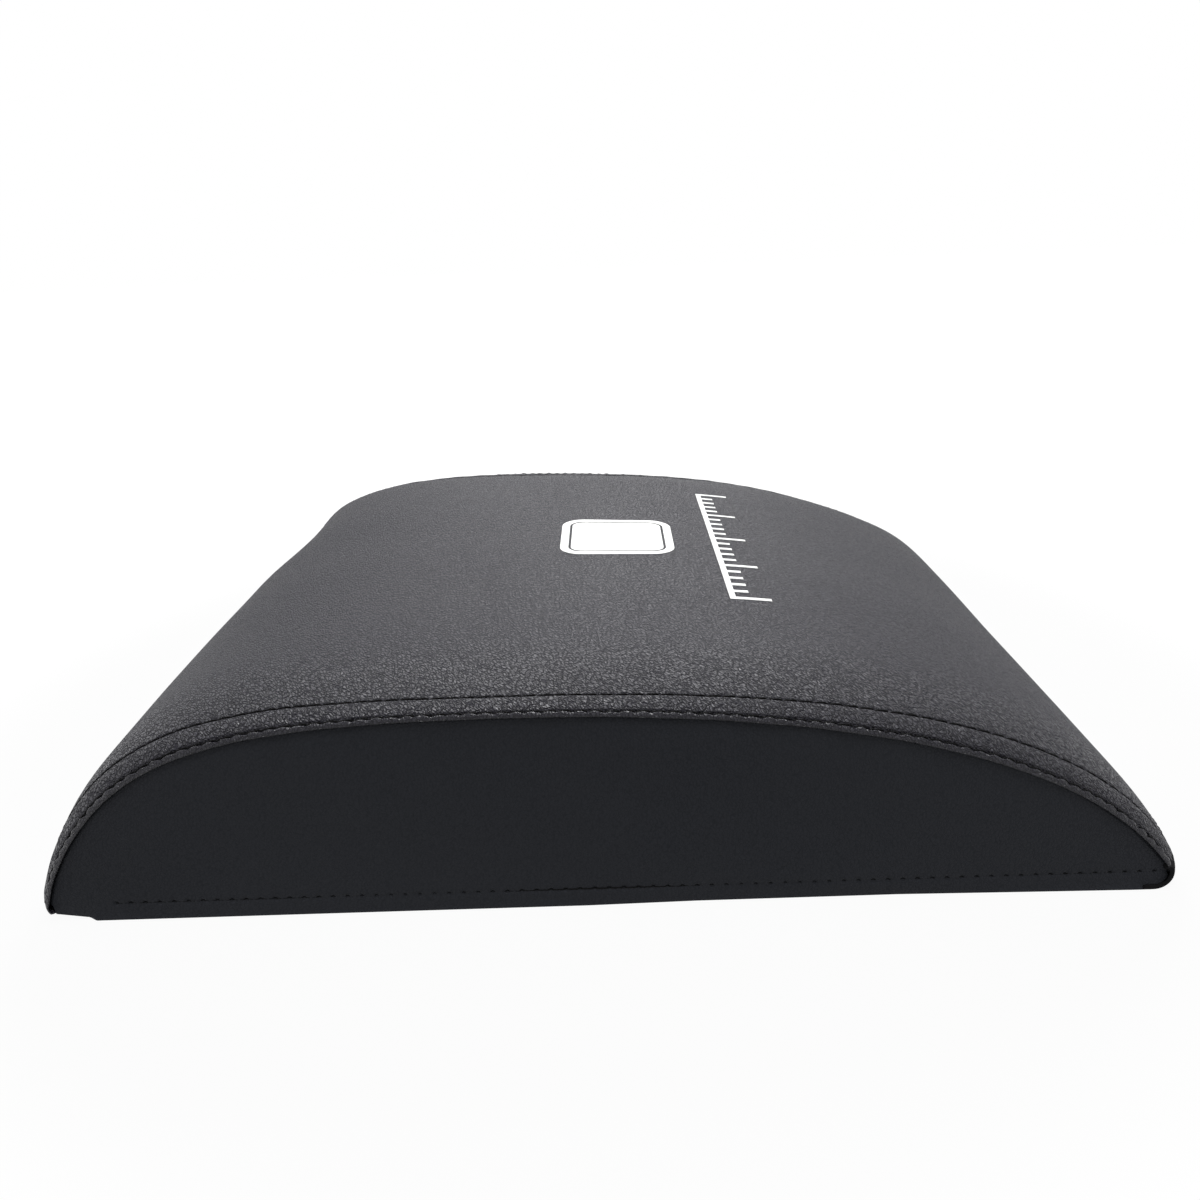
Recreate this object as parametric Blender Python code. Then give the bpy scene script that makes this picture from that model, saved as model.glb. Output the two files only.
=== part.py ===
"""Ab mat: an arched foam core in a sewn cover, with a zip under the tall end.

The tall end points along -X, the thin end along +X, and the front side panel faces -Y.
The origin is the bottom centre of the mat's box. Lengths are in metres.
"""

import math
from dataclasses import dataclass

import bmesh
import bpy
from mathutils import Vector

# Arch of the edge seam seen from the front, with x from the tall end's foot to the thin end's tip
SEAM_SPAN = 0.3626
SEAM_WIDTH = 0.2960
FOOT_HEIGHT = 0.0070
FOOT_SLOPE = math.radians(67.3)
FOOT_PULL = 0.0595
CREST_AT = 0.1494
CREST_HEIGHT = 0.0698
CREST_PULL_TALL = 0.0884
CREST_PULL_THIN = 0.0865
TIP_HEIGHT = 0.0052
TIP_SLOPE = math.radians(57.7)
TIP_PULL = 0.0606

# Swell of the cover beyond the seam, which draws the edges in
SWELL_TALL = 0.0092
SWELL_CREST = 0.0028
SWELL_THIN = 0.0083
SWELL_RUN = 0.0109
SWELL_LIFT_RUN = 0.0120

# Sheets and seams
PANEL = 0.0012
BASE_SHEET = 0.0016
GAP = 0.0003
HEM_WIDTH = 0.0116
SIDE_SET_BACK = 0.0012
SIDE_BEND = 0.0010
SEAM_FLANGE = 0.0090
EDGE_ROW = 0.0026
INNER_ROW = 0.0100
GROOVE_DEPTH = 0.0007
GROOVE_REACH = 0.0014
THREAD = 0.0007
THREAD_CLEAR = 0.00015
BASE_ROW_HEIGHT = 0.0060
THIN_ROW_SHARE = 0.18
LAP_SHARE = 0.50
HEM_ROW_INSET = 0.0016
FOLD_TRIM = 0.0008
ROLL_TRIM = 0.00015
TIP_TRIM = 0.0006
TIP_CLEAR = 0.00045
NOSE_SINK = 0.00025
FLANGE_STUB = 0.00006

# Underside: the lifted hems beside the zip, the base sheet's lips and its nose
HEM_LEVEL = 0.0034
CHAIN_AT = 0.0107
CHAIN_TO_HEM = 0.0045
BASE_HEM = 0.0040
BASE_RISER = 0.0030
BASE_LIP = 0.0070
NOSE_RUN = 0.0066
NOSE_LIP = 0.0025
SIDE_EDGE_HEIGHT = 0.0003
SIDE_STEP_HEIGHT = 0.0016
SIDE_CORNER_HEIGHT = 0.0030

# Zip
TAPE = 0.0005
TAPE_WIDTH = 0.0046
TAPE_END_GAP = 0.0010
TOOTH_THICK = 0.0018
TOOTH_PITCH = 0.0030
SPINE = 0.0009
CHAIN_HALF = 0.00255
STOP_LENGTH = 0.0022
STOP_SOFTEN = 0.0002
SLIDER_WIDTH = 0.0080
SLIDER_TAIL_WIDTH = 0.0062
SLIDER_LENGTH = 0.0100
SLIDER_WALL = 0.0009
SLIDER_SHOULDER = 0.0010
NECK_WIDTH = 0.0021
NECK_LENGTH = 0.0026
BRIDGE_WIDTH = 0.0014
BRIDGE_LENGTH = 0.0056
BRIDGE_WALL = 0.00085
BRIDGE_WINDOW = 0.00155
BRIDGE_CHAMFER = 0.0005
TAB_LENGTH = 0.0150
TAB_WIDTH = 0.0050
TAB_THICK = 0.0009
TAB_SLOT_WIDTH = 0.0023
TAB_SLOT_LENGTH = 0.0040
TAB_NECK_WIDTH = 0.0036
TAB_CORNER = 0.0009
TAB_DISH_WIDTH = 0.0030
TAB_DISH_DEPTH = 0.0002

# Plain prints on the cover, placed from the foot of the tall end and from the middle of the width
PRINT = 0.0002
PATCH_AT = 0.1887
PATCH_ACROSS = 0.0200
PATCH_SIDE = 0.0500
PATCH_CORNER = 0.0100
SCALE_AT = 0.2310
SCALE_ACROSS = 0.0215
SCALE_LENGTH = 0.1560
SCALE_STEPS = 20
SCALE_LINE = 0.0024
SCALE_TICK = 0.0080
SCALE_LONG_TICK = 0.0160
SCALE_LONG_EVERY = 5

# How finely the cover is drawn
TALL_STEPS = 10
THIN_STEPS = 10
FIELD_STEPS = 4
NOSE_STEPS = 3
CLOSING_SHARE = 0.15
NOSE_FOLD_SHARE = 0.90
THREAD_END_SHARE = 0.90

HEM = 2 * PANEL
HALF_WIDTH = SEAM_WIDTH / 2
SIDE_OUTER = HALF_WIDTH - SIDE_SET_BACK
SIDE_INNER = SIDE_OUTER - PANEL
INSIDE_HALF = SIDE_INNER - GAP
FLANGE_DEPTH = HEM + GAP
ROLL = HEM / 4
THREAD_LIFT = THREAD / 2 + THREAD_CLEAR
NOSE_AT = SEAM_SPAN - NOSE_RUN
BASE_EDGE_AT = CHAIN_AT + CHAIN_TO_HEM
TAIL_EDGE_AT = CHAIN_AT - CHAIN_TO_HEM
CHAIN_LEVEL = HEM_LEVEL + max(PANEL, BASE_SHEET) + GAP + TAPE / 2
CHANNEL_HALF = TOOTH_THICK / 2 + GAP
SLIDER_TOP = CHAIN_LEVEL + CHANNEL_HALF + SLIDER_WALL
SLIDER_BOTTOM = CHAIN_LEVEL - CHANNEL_HALF - SLIDER_WALL
TAB_LEVEL = SLIDER_BOTTOM - BRIDGE_WINDOW / 2
TAPE_END = INSIDE_HALF - TAPE_END_GAP
TAB_TIP = TAB_LENGTH - TAB_THICK / 2
SLIDER_REST = min(TAPE_END - STOP_LENGTH - GAP - SLIDER_LENGTH / 2, INSIDE_HALF - GAP - TAB_TIP)
STOP_START = SLIDER_REST + SLIDER_LENGTH / 2 + GAP

# Distances from the cover's edge at which its surface is drawn, from the fold to the middle
FOLD_LINES = [0.0, ROLL]
SEAM_LINES = [EDGE_ROW - GROOVE_REACH, EDGE_ROW, EDGE_ROW + GROOVE_REACH]
SEAM_LINES += [INNER_ROW - GROOVE_REACH, INNER_ROW, HEM_WIDTH]
FIELD_EDGE = HEM_WIDTH + 2 * ROLL
FIELD_WIDTH = HALF_WIDTH - FIELD_EDGE
FIELD_LINES = [FIELD_EDGE + FIELD_WIDTH * (k / FIELD_STEPS) ** 2 for k in range(FIELD_STEPS + 1)]


@dataclass
class Station:
    """A place along the arch: a point of the seam edge, its outward normal and its full swell."""

    x: float
    z: float
    normal_x: float
    normal_z: float
    swell_x: float
    swell_z: float
    tucked: bool = False


def bezier(start, start_pull, end_pull, end, t):
    """Return the point and the unit tangent of a cubic curve at t."""
    s = 1 - t
    point = start * s**3 + start_pull * 3 * s * s * t + end_pull * 3 * s * t * t + end * t**3
    tangent = (start_pull - start) * s * s + (end_pull - start_pull) * 2 * s * t + (end - end_pull) * t * t
    return point, tangent.normalized()


def arch_station(along, t):
    """Return the station at t on the tall half (along 0) or the thin half (along 1) of the arch."""
    crest = Vector((CREST_AT, CREST_HEIGHT))
    if along == 0:
        end = Vector((0.0, FOOT_HEIGHT))
        pull = end + FOOT_PULL * Vector((math.cos(FOOT_SLOPE), math.sin(FOOT_SLOPE)))
        point, tangent = bezier(end, pull, crest - Vector((CREST_PULL_TALL, 0)), crest, t)
    else:
        end = Vector((SEAM_SPAN, TIP_HEIGHT))
        pull = end + TIP_PULL * Vector((-math.cos(TIP_SLOPE), math.sin(TIP_SLOPE)))
        point, tangent = bezier(crest, crest + Vector((CREST_PULL_THIN, 0)), pull, end, t)
    share = abs(point.x - crest.x) / abs(end.x - crest.x)
    ease = share * share * (3 - 2 * share)
    swell = SWELL_CREST + ((SWELL_TALL, SWELL_THIN)[along] - SWELL_CREST) * ease
    lift = 1 - math.exp(-(point.y - end.y) / SWELL_LIFT_RUN)
    normal = Vector((-tangent.y, tangent.x))
    return Station(point.x, point.y, normal.x, normal.y, normal.x * swell, normal.y * swell * lift)


def arch_stations():
    """Return the stations from the foot of the tall end over the crest to the tip of the thin end."""
    tall = [arch_station(0, i / TALL_STEPS) for i in range(TALL_STEPS)]
    thin = [arch_station(1, i / THIN_STEPS) for i in range(THIN_STEPS + 1)]
    return tall + thin


def closing_station():
    """Return the station just short of the thin end's tip, where the folded edges are sewn down."""
    return arch_station(1, 1 - CLOSING_SHARE / THIN_STEPS)


def tail_stations(foot):
    """Return the stations that turn the cover under the tall end, from its inner edge to the foot."""
    radius = (FOOT_HEIGHT - HEM_LEVEL) / (1 + math.cos(FOOT_SLOPE))
    start = radius * math.sin(FOOT_SLOPE)
    middle = math.pi + FOOT_SLOPE / 2
    normal_x, normal_z = math.cos(middle), math.sin(middle)
    bend_x, bend_z = start + radius * normal_x, HEM_LEVEL + radius * (1 + normal_z)
    return [
        Station(TAIL_EDGE_AT, HEM_LEVEL, 0.0, -1.0, 0.0, 0.0, True),
        Station(start, HEM_LEVEL, 0.0, -1.0, foot.swell_x, 0.0, True),
        Station(bend_x, bend_z, normal_x, normal_z, foot.swell_x, 0.0),
    ]


def cover_point(station, y, depth=0.0):
    """Return the point at a place across the mat and a depth under the cover's outer surface."""
    from_edge = max(HALF_WIDTH - abs(y), 0.0)
    share = 1 - math.exp(-from_edge / SWELL_RUN)
    side = y * INSIDE_HALF / HALF_WIDTH if station.tucked else y
    x = station.x + station.swell_x * share - station.normal_x * depth
    z = station.z + station.swell_z * share - station.normal_z * depth
    return Vector((x, side, z))


def groove(from_edge):
    """Return how deep the stitch rows pull the cover in at a distance from its edge."""
    near = min(abs(from_edge - EDGE_ROW), abs(from_edge - INNER_ROW))
    return GROOVE_DEPTH * max(0.0, 1 - near / GROOVE_REACH)


def across(lines):
    """Return places across the mat, front to rear, from distances to its edge."""
    front = [line - HALF_WIDTH for line in lines if line < HALF_WIDTH]
    return front + [0.0] + [-y for y in reversed(front)]


def add_object(name, mesh, material):
    """Put a mesh in the scene as a named object with its material."""
    mesh.name = name
    mesh.materials.append(material)
    mesh.shade_smooth()
    mesh.set_sharp_from_angle(angle=math.radians(35))
    thing = bpy.data.objects.new(name, mesh)
    bpy.context.scene.collection.objects.link(thing)
    return thing


def close_mesh(bm):
    """Turn a closed bmesh into a mesh with its faces pointing out."""
    bmesh.ops.recalc_face_normals(bm, faces=bm.faces)
    mesh = bpy.data.meshes.new("mesh")
    bm.to_mesh(mesh)
    bm.free()
    return mesh


def shell(outer, inner):
    """Close two grids of points of one size into a sheet with thickness."""
    bm = bmesh.new()
    top, under = [[[bm.verts.new(p) for p in row] for row in grid] for grid in (outer, inner)]
    last_row, last_column = len(outer) - 1, len(outer[0]) - 1
    for grid in (top, under):
        for i in range(last_row):
            for j in range(last_column):
                bm.faces.new((grid[i][j], grid[i][j + 1], grid[i + 1][j + 1], grid[i + 1][j]))
    border = [(0, j) for j in range(last_column)] + [(i, last_column) for i in range(last_row)]
    border += [(last_row, j) for j in range(last_column, 0, -1)] + [(i, 0) for i in range(last_row, 0, -1)]
    for (i, j), (m, n) in zip(border, border[1:] + border[:1]):
        bm.faces.new((top[i][j], top[m][n], under[m][n], under[i][j]))
    return close_mesh(bm)


def loft(sections):
    """Join closed sections of equally many points and cap the first and the last."""
    bm = bmesh.new()
    rings = [[bm.verts.new(p) for p in section] for section in sections]
    for ring, following in zip(rings, rings[1:]):
        for k, vertex in enumerate(ring):
            n = (k + 1) % len(ring)
            bm.faces.new((vertex, ring[n], following[n], following[k]))
    bm.faces.new(rings[0])
    bm.faces.new(rings[-1])
    return close_mesh(bm)


def prism(outline, low, high):
    """Raise a flat outline of x and y places from one height to another."""
    return loft([[Vector((x, y, z)) for x, y in outline] for z in (low, high)])


def block(x_range, y_range, z_range):
    """Return a block between two values on each axis."""
    (x0, x1), (y0, y1) = x_range, y_range
    return prism([(x0, y0), (x1, y0), (x1, y1), (x0, y1)], *z_range)


def combine(thing, mesh, operation):
    """Join a mesh to an object, or cut it from the object."""
    helper = bpy.data.objects.new("helper", mesh)
    bpy.context.scene.collection.objects.link(helper)
    modifier = thing.modifiers.new("combine", "BOOLEAN")
    modifier.operation = operation
    modifier.object = helper
    depsgraph = bpy.context.evaluated_depsgraph_get()
    joined = bpy.data.meshes.new_from_object(thing.evaluated_get(depsgraph))
    thing.modifiers.clear()
    thing.data = joined
    bpy.data.objects.remove(helper)


def soften(thing, width):
    """Break the sharp edges of a small hard piece."""
    modifier = thing.modifiers.new("soften", "BEVEL")
    modifier.width = width
    modifier.segments = 1
    modifier.limit_method = "ANGLE"
    modifier.angle_limit = math.radians(40)


def add_thread(name, points, material):
    """Lay one row of sewing thread along its points."""
    curve = bpy.data.curves.new(name, "CURVE")
    curve.dimensions = "3D"
    curve.bevel_depth = THREAD / 2
    curve.bevel_resolution = 0
    curve.use_fill_caps = True
    spline = curve.splines.new("POLY")
    spline.points.add(len(points) - 1)
    for slot, point in zip(spline.points, points):
        slot.co = (*point, 1.0)
    curve.materials.append(material)
    thing = bpy.data.objects.new(name, curve)
    bpy.context.scene.collection.objects.link(thing)


def add_material(name, color, roughness, metallic=0.0):
    """Make one finish."""
    material = bpy.data.materials.new(name)
    material.use_nodes = True
    shader = material.node_tree.nodes["Principled BSDF"]
    shader.inputs["Base Color"].default_value = (*color, 1.0)
    shader.inputs["Roughness"].default_value = roughness
    shader.inputs["Metallic"].default_value = metallic
    return material


def add_top_panel(stations, material):
    """Make the top sheet: folded edges, stitch grooves, swell, and a tail under the tall end."""
    tail = tail_stations(stations[0])
    closing = [closing_station(), stations[-1]]
    places = across(FOLD_LINES + SEAM_LINES + FIELD_LINES)
    last = len(places) - 1
    outer, inner = [], []
    for station in tail + stations[:-1] + closing:
        outer_row, inner_row = [], []
        for k, y in enumerate(places):
            from_edge = HALF_WIDTH - abs(y)
            folded = station in closing or (station not in tail and from_edge < HEM_WIDTH + GAP)
            thick = HEM if folded else PANEL
            trim = {0: FOLD_TRIM, 1: ROLL_TRIM}.get(min(k, last - k), 0.0)
            if station is stations[-1]:
                trim = max(trim, TIP_TRIM)
            rolled = trim * thick / HEM
            dent = 0.0 if station.tucked or station is stations[-1] else groove(from_edge)
            outer_row.append(cover_point(station, y, max(rolled, dent)))
            inner_row.append(cover_point(station, y, thick - rolled))
        outer.append(outer_row)
        inner.append(inner_row)
    add_object("top_panel", shell(outer, inner), material)


def side_edge_height(x):
    """Return the height of a side panel's lower edge above the floor."""
    if x < BASE_EDGE_AT:
        share = (x - FLANGE_DEPTH) / (BASE_EDGE_AT - FLANGE_DEPTH)
        return SIDE_CORNER_HEIGHT + (SIDE_STEP_HEIGHT - SIDE_CORNER_HEIGHT) * max(share, 0.0)
    share = min(max(x - NOSE_AT, 0.0) / NOSE_RUN, 1.0)
    return SIDE_EDGE_HEIGHT + TIP_HEIGHT * (1 - math.sqrt(1 - share * share))


def add_side_panel(name, side, stations, material):
    """Make one side sheet: a flat plate under the arch with its seam allowance turned in."""
    under = FLANGE_DEPTH + PANEL
    bend = SIDE_BEND * (1 - math.cos(math.pi / 4))
    sections = []
    for k, station in enumerate(stations):
        bare = k == 0 or k > len(stations) - 3
        flange = [EDGE_ROW + GROOVE_REACH, INNER_ROW - GROOVE_REACH, SIDE_SET_BACK + PANEL + SEAM_FLANGE]
        if bare:
            flange = [SIDE_SET_BACK + PANEL + FLANGE_STUB * step for step in (1, 2, 3)]
        places = [HALF_WIDTH - line for line in flange]
        ring = [(SIDE_OUTER, FLANGE_DEPTH + SIDE_BEND)]
        ring += [(SIDE_OUTER - bend, FLANGE_DEPTH + bend)]
        ring += [(SIDE_OUTER - SIDE_BEND, FLANGE_DEPTH)] + [(y, FLANGE_DEPTH) for y in places]
        ring += [(y, under) for y in reversed(places)] + [(SIDE_INNER, under + SIDE_BEND / 2)]
        points = [cover_point(station, y, depth) for y, depth in ring]
        low_x = max(points[0].x, FLANGE_DEPTH + GAP)
        low_z = min(side_edge_height(low_x), points[0].z - GAP)
        points += [Vector((low_x, SIDE_INNER, low_z)), Vector((low_x, SIDE_OUTER, low_z))]
        sections.append([Vector((p.x, p.y * side, p.z)) for p in points])
    add_object(name, loft(sections), material)


@dataclass
class BaseRow:
    """A row of the base sheet: its outer and inner line, its share of the swell and its lips' height."""

    outer: tuple
    inner: tuple
    swell: float = 1.0
    lip: float = 0.0


def base_rows(tip):
    """Return the base sheet's rows from its lifted hem along the floor and round the thin end's nose."""
    end = Vector((tip.x, tip.z))
    normal = Vector((tip.normal_x, tip.normal_z))
    below_end = end + TIP_CLEAR * Vector((tip.normal_z, -tip.normal_x))
    fold = below_end - normal * FLANGE_DEPTH
    inner_fold = fold - normal * BASE_SHEET
    nose_top = below_end - normal * NOSE_SINK
    inner_start = Vector((NOSE_AT, BASE_SHEET))
    riser_at = BASE_EDGE_AT + BASE_HEM
    flat_at = riser_at + BASE_RISER
    hem_top = HEM_LEVEL + BASE_SHEET
    rows = [
        BaseRow((BASE_EDGE_AT, HEM_LEVEL), (BASE_EDGE_AT, hem_top), 0.0),
        BaseRow((riser_at, HEM_LEVEL), (riser_at + GAP, hem_top), 0.0),
        BaseRow((flat_at, 0.0), (flat_at + GAP, BASE_SHEET), 0.0, BASE_LIP),
        BaseRow((NOSE_AT - NOSE_RUN, 0.0), (NOSE_AT - NOSE_RUN, BASE_SHEET), 1.0, BASE_LIP),
        BaseRow((NOSE_AT, 0.0), tuple(inner_start), 1.0, NOSE_LIP),
    ]
    for step in range(1, NOSE_STEPS + 1):
        angle = math.pi / 2 * step / NOSE_STEPS
        share = NOSE_FOLD_SHARE * step / NOSE_STEPS
        run, rise = (nose_top.x - NOSE_AT) * math.sin(angle), nose_top.y * (1 - math.cos(angle))
        rows.append(BaseRow((NOSE_AT + run, rise), tuple(inner_start.lerp(inner_fold, share))))
    rows.append(BaseRow(tuple(fold), tuple(inner_fold)))
    return rows


def add_base_panel(stations, material):
    """Make the floor sheet with its hem at the zip, its lips inside the sides and its lap at the thin end."""
    tip, before = stations[-1], stations[-2]
    field = [line for line in SEAM_LINES + FIELD_LINES if line > INNER_ROW - 2 * GROOVE_REACH]
    rim = [HALF_WIDTH - INSIDE_HALF, HALF_WIDTH - INSIDE_HALF + ROLL, HALF_WIDTH - INSIDE_HALF + 2 * ROLL]
    places = across(rim + field)
    last = len(places) - 1
    outer, inner = [], []
    for row in base_rows(tip):
        outer_row, inner_row = [], []
        for k, y in enumerate(places):
            shift = row.swell * (cover_point(tip, y).x - tip.x)
            from_rim = min(k, last - k)
            point = Vector((row.outer[0] + shift, y, row.outer[1]))
            under = Vector((row.inner[0] + shift, y, row.inner[1]))
            if row.lip and from_rim < 2:
                wall = math.copysign(INSIDE_HALF, y)
                point.y, under.y = wall, wall - math.copysign(BASE_SHEET, y)
                point.z += (row.lip, ROLL)[from_rim]
                under.z = (point.z, under.z + ROLL)[from_rim]
            if row.lip and from_rim == 2:
                under.y -= math.copysign(BASE_SHEET - ROLL, y)
            outer_row.append(point)
            inner_row.append(under)
        outer.append(outer_row)
        inner.append(inner_row)
    for grid, depth in ((outer, FLANGE_DEPTH), (inner, FLANGE_DEPTH + BASE_SHEET)):
        ends = [(cover_point(tip, y, depth), cover_point(before, y, depth)) for y in places]
        grid.append([low.lerp(high, LAP_SHARE) for low, high in ends])
    add_object("base_panel", shell(outer, inner), material)


def add_foam_core(stations, material):
    """Make the moulded block that fills the cover, with its lower edge cut away above the zip."""
    edge_depth = FLANGE_DEPTH + PANEL + GAP
    end_depth = FLANGE_DEPTH + BASE_SHEET + GAP
    rim = HALF_WIDTH - INSIDE_HALF + BASE_SHEET + GAP
    lines = [rim] + [line for line in SEAM_LINES + FIELD_LINES if line > rim + GAP]
    cut_level = SLIDER_TOP + GAP
    floor = BASE_SHEET + GAP
    riser_end = BASE_EDGE_AT + BASE_HEM + BASE_RISER
    sections = []
    for y in across(lines):
        middle = HALF_WIDTH - abs(y) > HEM_WIDTH + 2 * ROLL + GAP
        depth = PANEL + GAP if middle else edge_depth
        top = [cover_point(station, y, depth) for station in stations[:-2]]
        top += [cover_point(station, y, end_depth) for station in stations[-2:]]
        share = (cut_level + GAP - top[0].z) / (top[1].z - top[0].z)
        top[0] = top[0].lerp(top[1], max(share, 0.0))
        nose = Vector((NOSE_AT + top[-1].x - SEAM_SPAN, y, floor))
        ring = top + [nose, Vector((riser_end + 2 * BASE_SHEET, y, floor))]
        ring.append(Vector((BASE_EDGE_AT + BASE_HEM, y, cut_level)))
        sections.append(ring)
    add_object("foam_core", loft(sections), material)


def add_cover_threads(stations, material):
    """Lay the two topstitch rows beside each edge seam and the row across the thin end."""
    closing = closing_station()
    for side, end_name in ((-1, "front"), (1, "rear")):
        for row, row_name in ((EDGE_ROW, "edge"), (INNER_ROW, "inner")):
            y = side * (HALF_WIDTH - row)
            depth = GROOVE_DEPTH - THREAD_LIFT
            points = [cover_point(station, y, depth) for station in stations[:-1]]
            points.append(points[-1].lerp(cover_point(closing, y, depth), THREAD_END_SHARE))
            add_thread(f"topstitch_{end_name}_{row_name}", points, material)
    before = stations[-2]
    points = []
    for y in across(FIELD_LINES):
        near, far = cover_point(closing, y, -THREAD_LIFT), cover_point(before, y, -THREAD_LIFT)
        points.append(near.lerp(far, THIN_ROW_SHARE))
    add_thread("stitch_thin_end", points, material)


def add_base_threads(material):
    """Lay the straight rows that hold the base sheet to the sides and the zip's tapes to the hems."""
    wall = SIDE_OUTER + THREAD_LIFT
    start = BASE_EDGE_AT + BASE_HEM + BASE_RISER
    for side, name in ((-1, "front"), (1, "rear")):
        ends = [Vector((x, side * wall, BASE_ROW_HEIGHT)) for x in (start, NOSE_AT - ROLL)]
        add_thread(f"base_stitch_{name}", ends, material)
    level = HEM_LEVEL - THREAD_LIFT
    reach = TAPE_END - HEM_ROW_INSET
    for x, name in ((TAIL_EDGE_AT - HEM_ROW_INSET, "outer"), (BASE_EDGE_AT + HEM_ROW_INSET, "inner")):
        add_thread(f"zip_stitch_{name}", [Vector((x, y, level)) for y in (-reach, reach)], material)


def comb_outline(side, offset):
    """Return the outline of one row of zip teeth on its side (-1 outer, 1 inner) of the chain."""
    back, front = side * CHAIN_HALF, side * (CHAIN_HALF - SPINE)
    tooth_end = -side * (CHAIN_HALF - SPINE - GAP)
    start = GAP - STOP_START
    end = SLIDER_REST + SLIDER_LENGTH / 2 - NECK_LENGTH - GAP
    width = TOOTH_PITCH / 2 - GAP
    outline = [(back, start), (front, start)]
    y = start + offset
    while y + width < end:
        outline += [(front, y), (tooth_end, y), (tooth_end, y + width), (front, y + width)]
        y += TOOTH_PITCH
    return outline + [(front, end), (back, end)]


def add_zip_tapes(cloth, plastic):
    """Make the two tapes, the two rows of teeth and the stops at the ends of the chain."""
    tooth_low, tooth_high = CHAIN_LEVEL - TOOTH_THICK / 2, CHAIN_LEVEL + TOOTH_THICK / 2
    for side, name, offset in ((-1, "outer", GAP / 2), (1, "inner", GAP / 2 + TOOTH_PITCH / 2)):
        edges = [CHAIN_AT + side * (CHAIN_HALF + GAP + width) for width in (0.0, TAPE_WIDTH)]
        tape = block(sorted(edges), (-TAPE_END, TAPE_END), (CHAIN_LEVEL - TAPE / 2, CHAIN_LEVEL + TAPE / 2))
        add_object(f"zip_tape_{name}", tape, cloth)
        comb = prism(comb_outline(side, offset), tooth_low, tooth_high)
        add_object(f"zip_teeth_{name}", comb, plastic).location.x = CHAIN_AT
        stop_edges = sorted(CHAIN_AT + side * width for width in (GAP, CHAIN_HALF))
        stop = block(stop_edges, (STOP_START, STOP_START + STOP_LENGTH), (tooth_low, tooth_high))
        soften(add_object(f"zip_top_stop_{name}", stop, plastic), STOP_SOFTEN)
    edges = (CHAIN_AT - CHAIN_HALF, CHAIN_AT + CHAIN_HALF)
    stop = block(edges, (-STOP_START - STOP_LENGTH, -STOP_START), (tooth_low, tooth_high))
    soften(add_object("zip_bottom_stop", stop, plastic), STOP_SOFTEN)


def add_slider(metal):
    """Make the slider: two wings joined by a neck, with the bridge that carries the pull tab."""
    half, tail, long = SLIDER_WIDTH / 2, SLIDER_TAIL_WIDTH / 2, SLIDER_LENGTH / 2
    wing = [(-tail, -long), (tail, -long), (half, SLIDER_SHOULDER), (half, long)]
    wing += [(-half, long), (-half, SLIDER_SHOULDER)]
    slider = add_object("zip_slider", prism(wing, SLIDER_BOTTOM, SLIDER_BOTTOM + SLIDER_WALL), metal)
    combine(slider, prism(wing, SLIDER_TOP - SLIDER_WALL, SLIDER_TOP), "UNION")
    neck = block(
        (-NECK_WIDTH / 2, NECK_WIDTH / 2),
        (long - NECK_LENGTH, long - SLIDER_WALL / 2),
        (SLIDER_BOTTOM + SLIDER_WALL / 2, SLIDER_TOP - SLIDER_WALL / 2),
    )
    combine(slider, neck, "UNION")
    crown = SLIDER_BOTTOM - BRIDGE_WINDOW
    bridge_half, foot = BRIDGE_LENGTH / 2, BRIDGE_LENGTH / 2 - BRIDGE_WALL
    chamfer = BRIDGE_CHAMFER
    arch = [(-bridge_half, SLIDER_BOTTOM + SLIDER_WALL / 2), (-bridge_half, crown - BRIDGE_WALL + chamfer)]
    arch += [(-bridge_half + chamfer, crown - BRIDGE_WALL), (bridge_half - chamfer, crown - BRIDGE_WALL)]
    arch += [(bridge_half, crown - BRIDGE_WALL + chamfer), (bridge_half, SLIDER_BOTTOM + SLIDER_WALL / 2)]
    arch += [(foot, SLIDER_BOTTOM + SLIDER_WALL / 2), (foot, crown), (-foot, crown)]
    arch += [(-foot, SLIDER_BOTTOM + SLIDER_WALL / 2)]
    sides = [[Vector((x, y, z)) for y, z in arch] for x in (-BRIDGE_WIDTH / 2, BRIDGE_WIDTH / 2)]
    combine(slider, loft(sides), "UNION")
    slider.location = (CHAIN_AT, SLIDER_REST, 0.0)


def add_pull_tab(metal):
    """Make the pull tab, whose end bar passes through the slider's bridge, lying along the chain."""
    half, thick = TAB_WIDTH / 2, TAB_THICK / 2
    bar = thick
    taper, corner = TAB_NECK_WIDTH / 2, TAB_CORNER
    outline = [(taper, bar), (-taper, bar), (-half, bar - TAB_SLOT_LENGTH), (-half, corner - TAB_TIP)]
    outline += [(corner - half, -TAB_TIP), (half - corner, -TAB_TIP), (half, corner - TAB_TIP)]
    outline += [(half, bar - TAB_SLOT_LENGTH)]
    tab = add_object("zip_pull_tab", prism(outline, -thick, thick), metal)
    slot_end = -bar - TAB_SLOT_LENGTH
    slot = block((-TAB_SLOT_WIDTH / 2, TAB_SLOT_WIDTH / 2), (slot_end, -bar), (-TAB_THICK, TAB_THICK))
    combine(tab, slot, "DIFFERENCE")
    dish_ends = (2 * corner - TAB_TIP, slot_end - corner)
    dish = block((-TAB_DISH_WIDTH / 2, TAB_DISH_WIDTH / 2), dish_ends, (-TAB_THICK, TAB_DISH_DEPTH - thick))
    combine(tab, dish, "DIFFERENCE")
    tab.location = (CHAIN_AT, SLIDER_REST, TAB_LEVEL)


def surface_point(stations, x, y, depth):
    """Return the point over the arch at a distance along the mat, on the drawn surface."""
    line = [cover_point(station, y, depth) for station in stations]
    for near, far in zip(line, line[1:]):
        if near.x <= x <= far.x:
            return near.lerp(far, (x - near.x) / (far.x - near.x))
    return line[-1]


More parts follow.
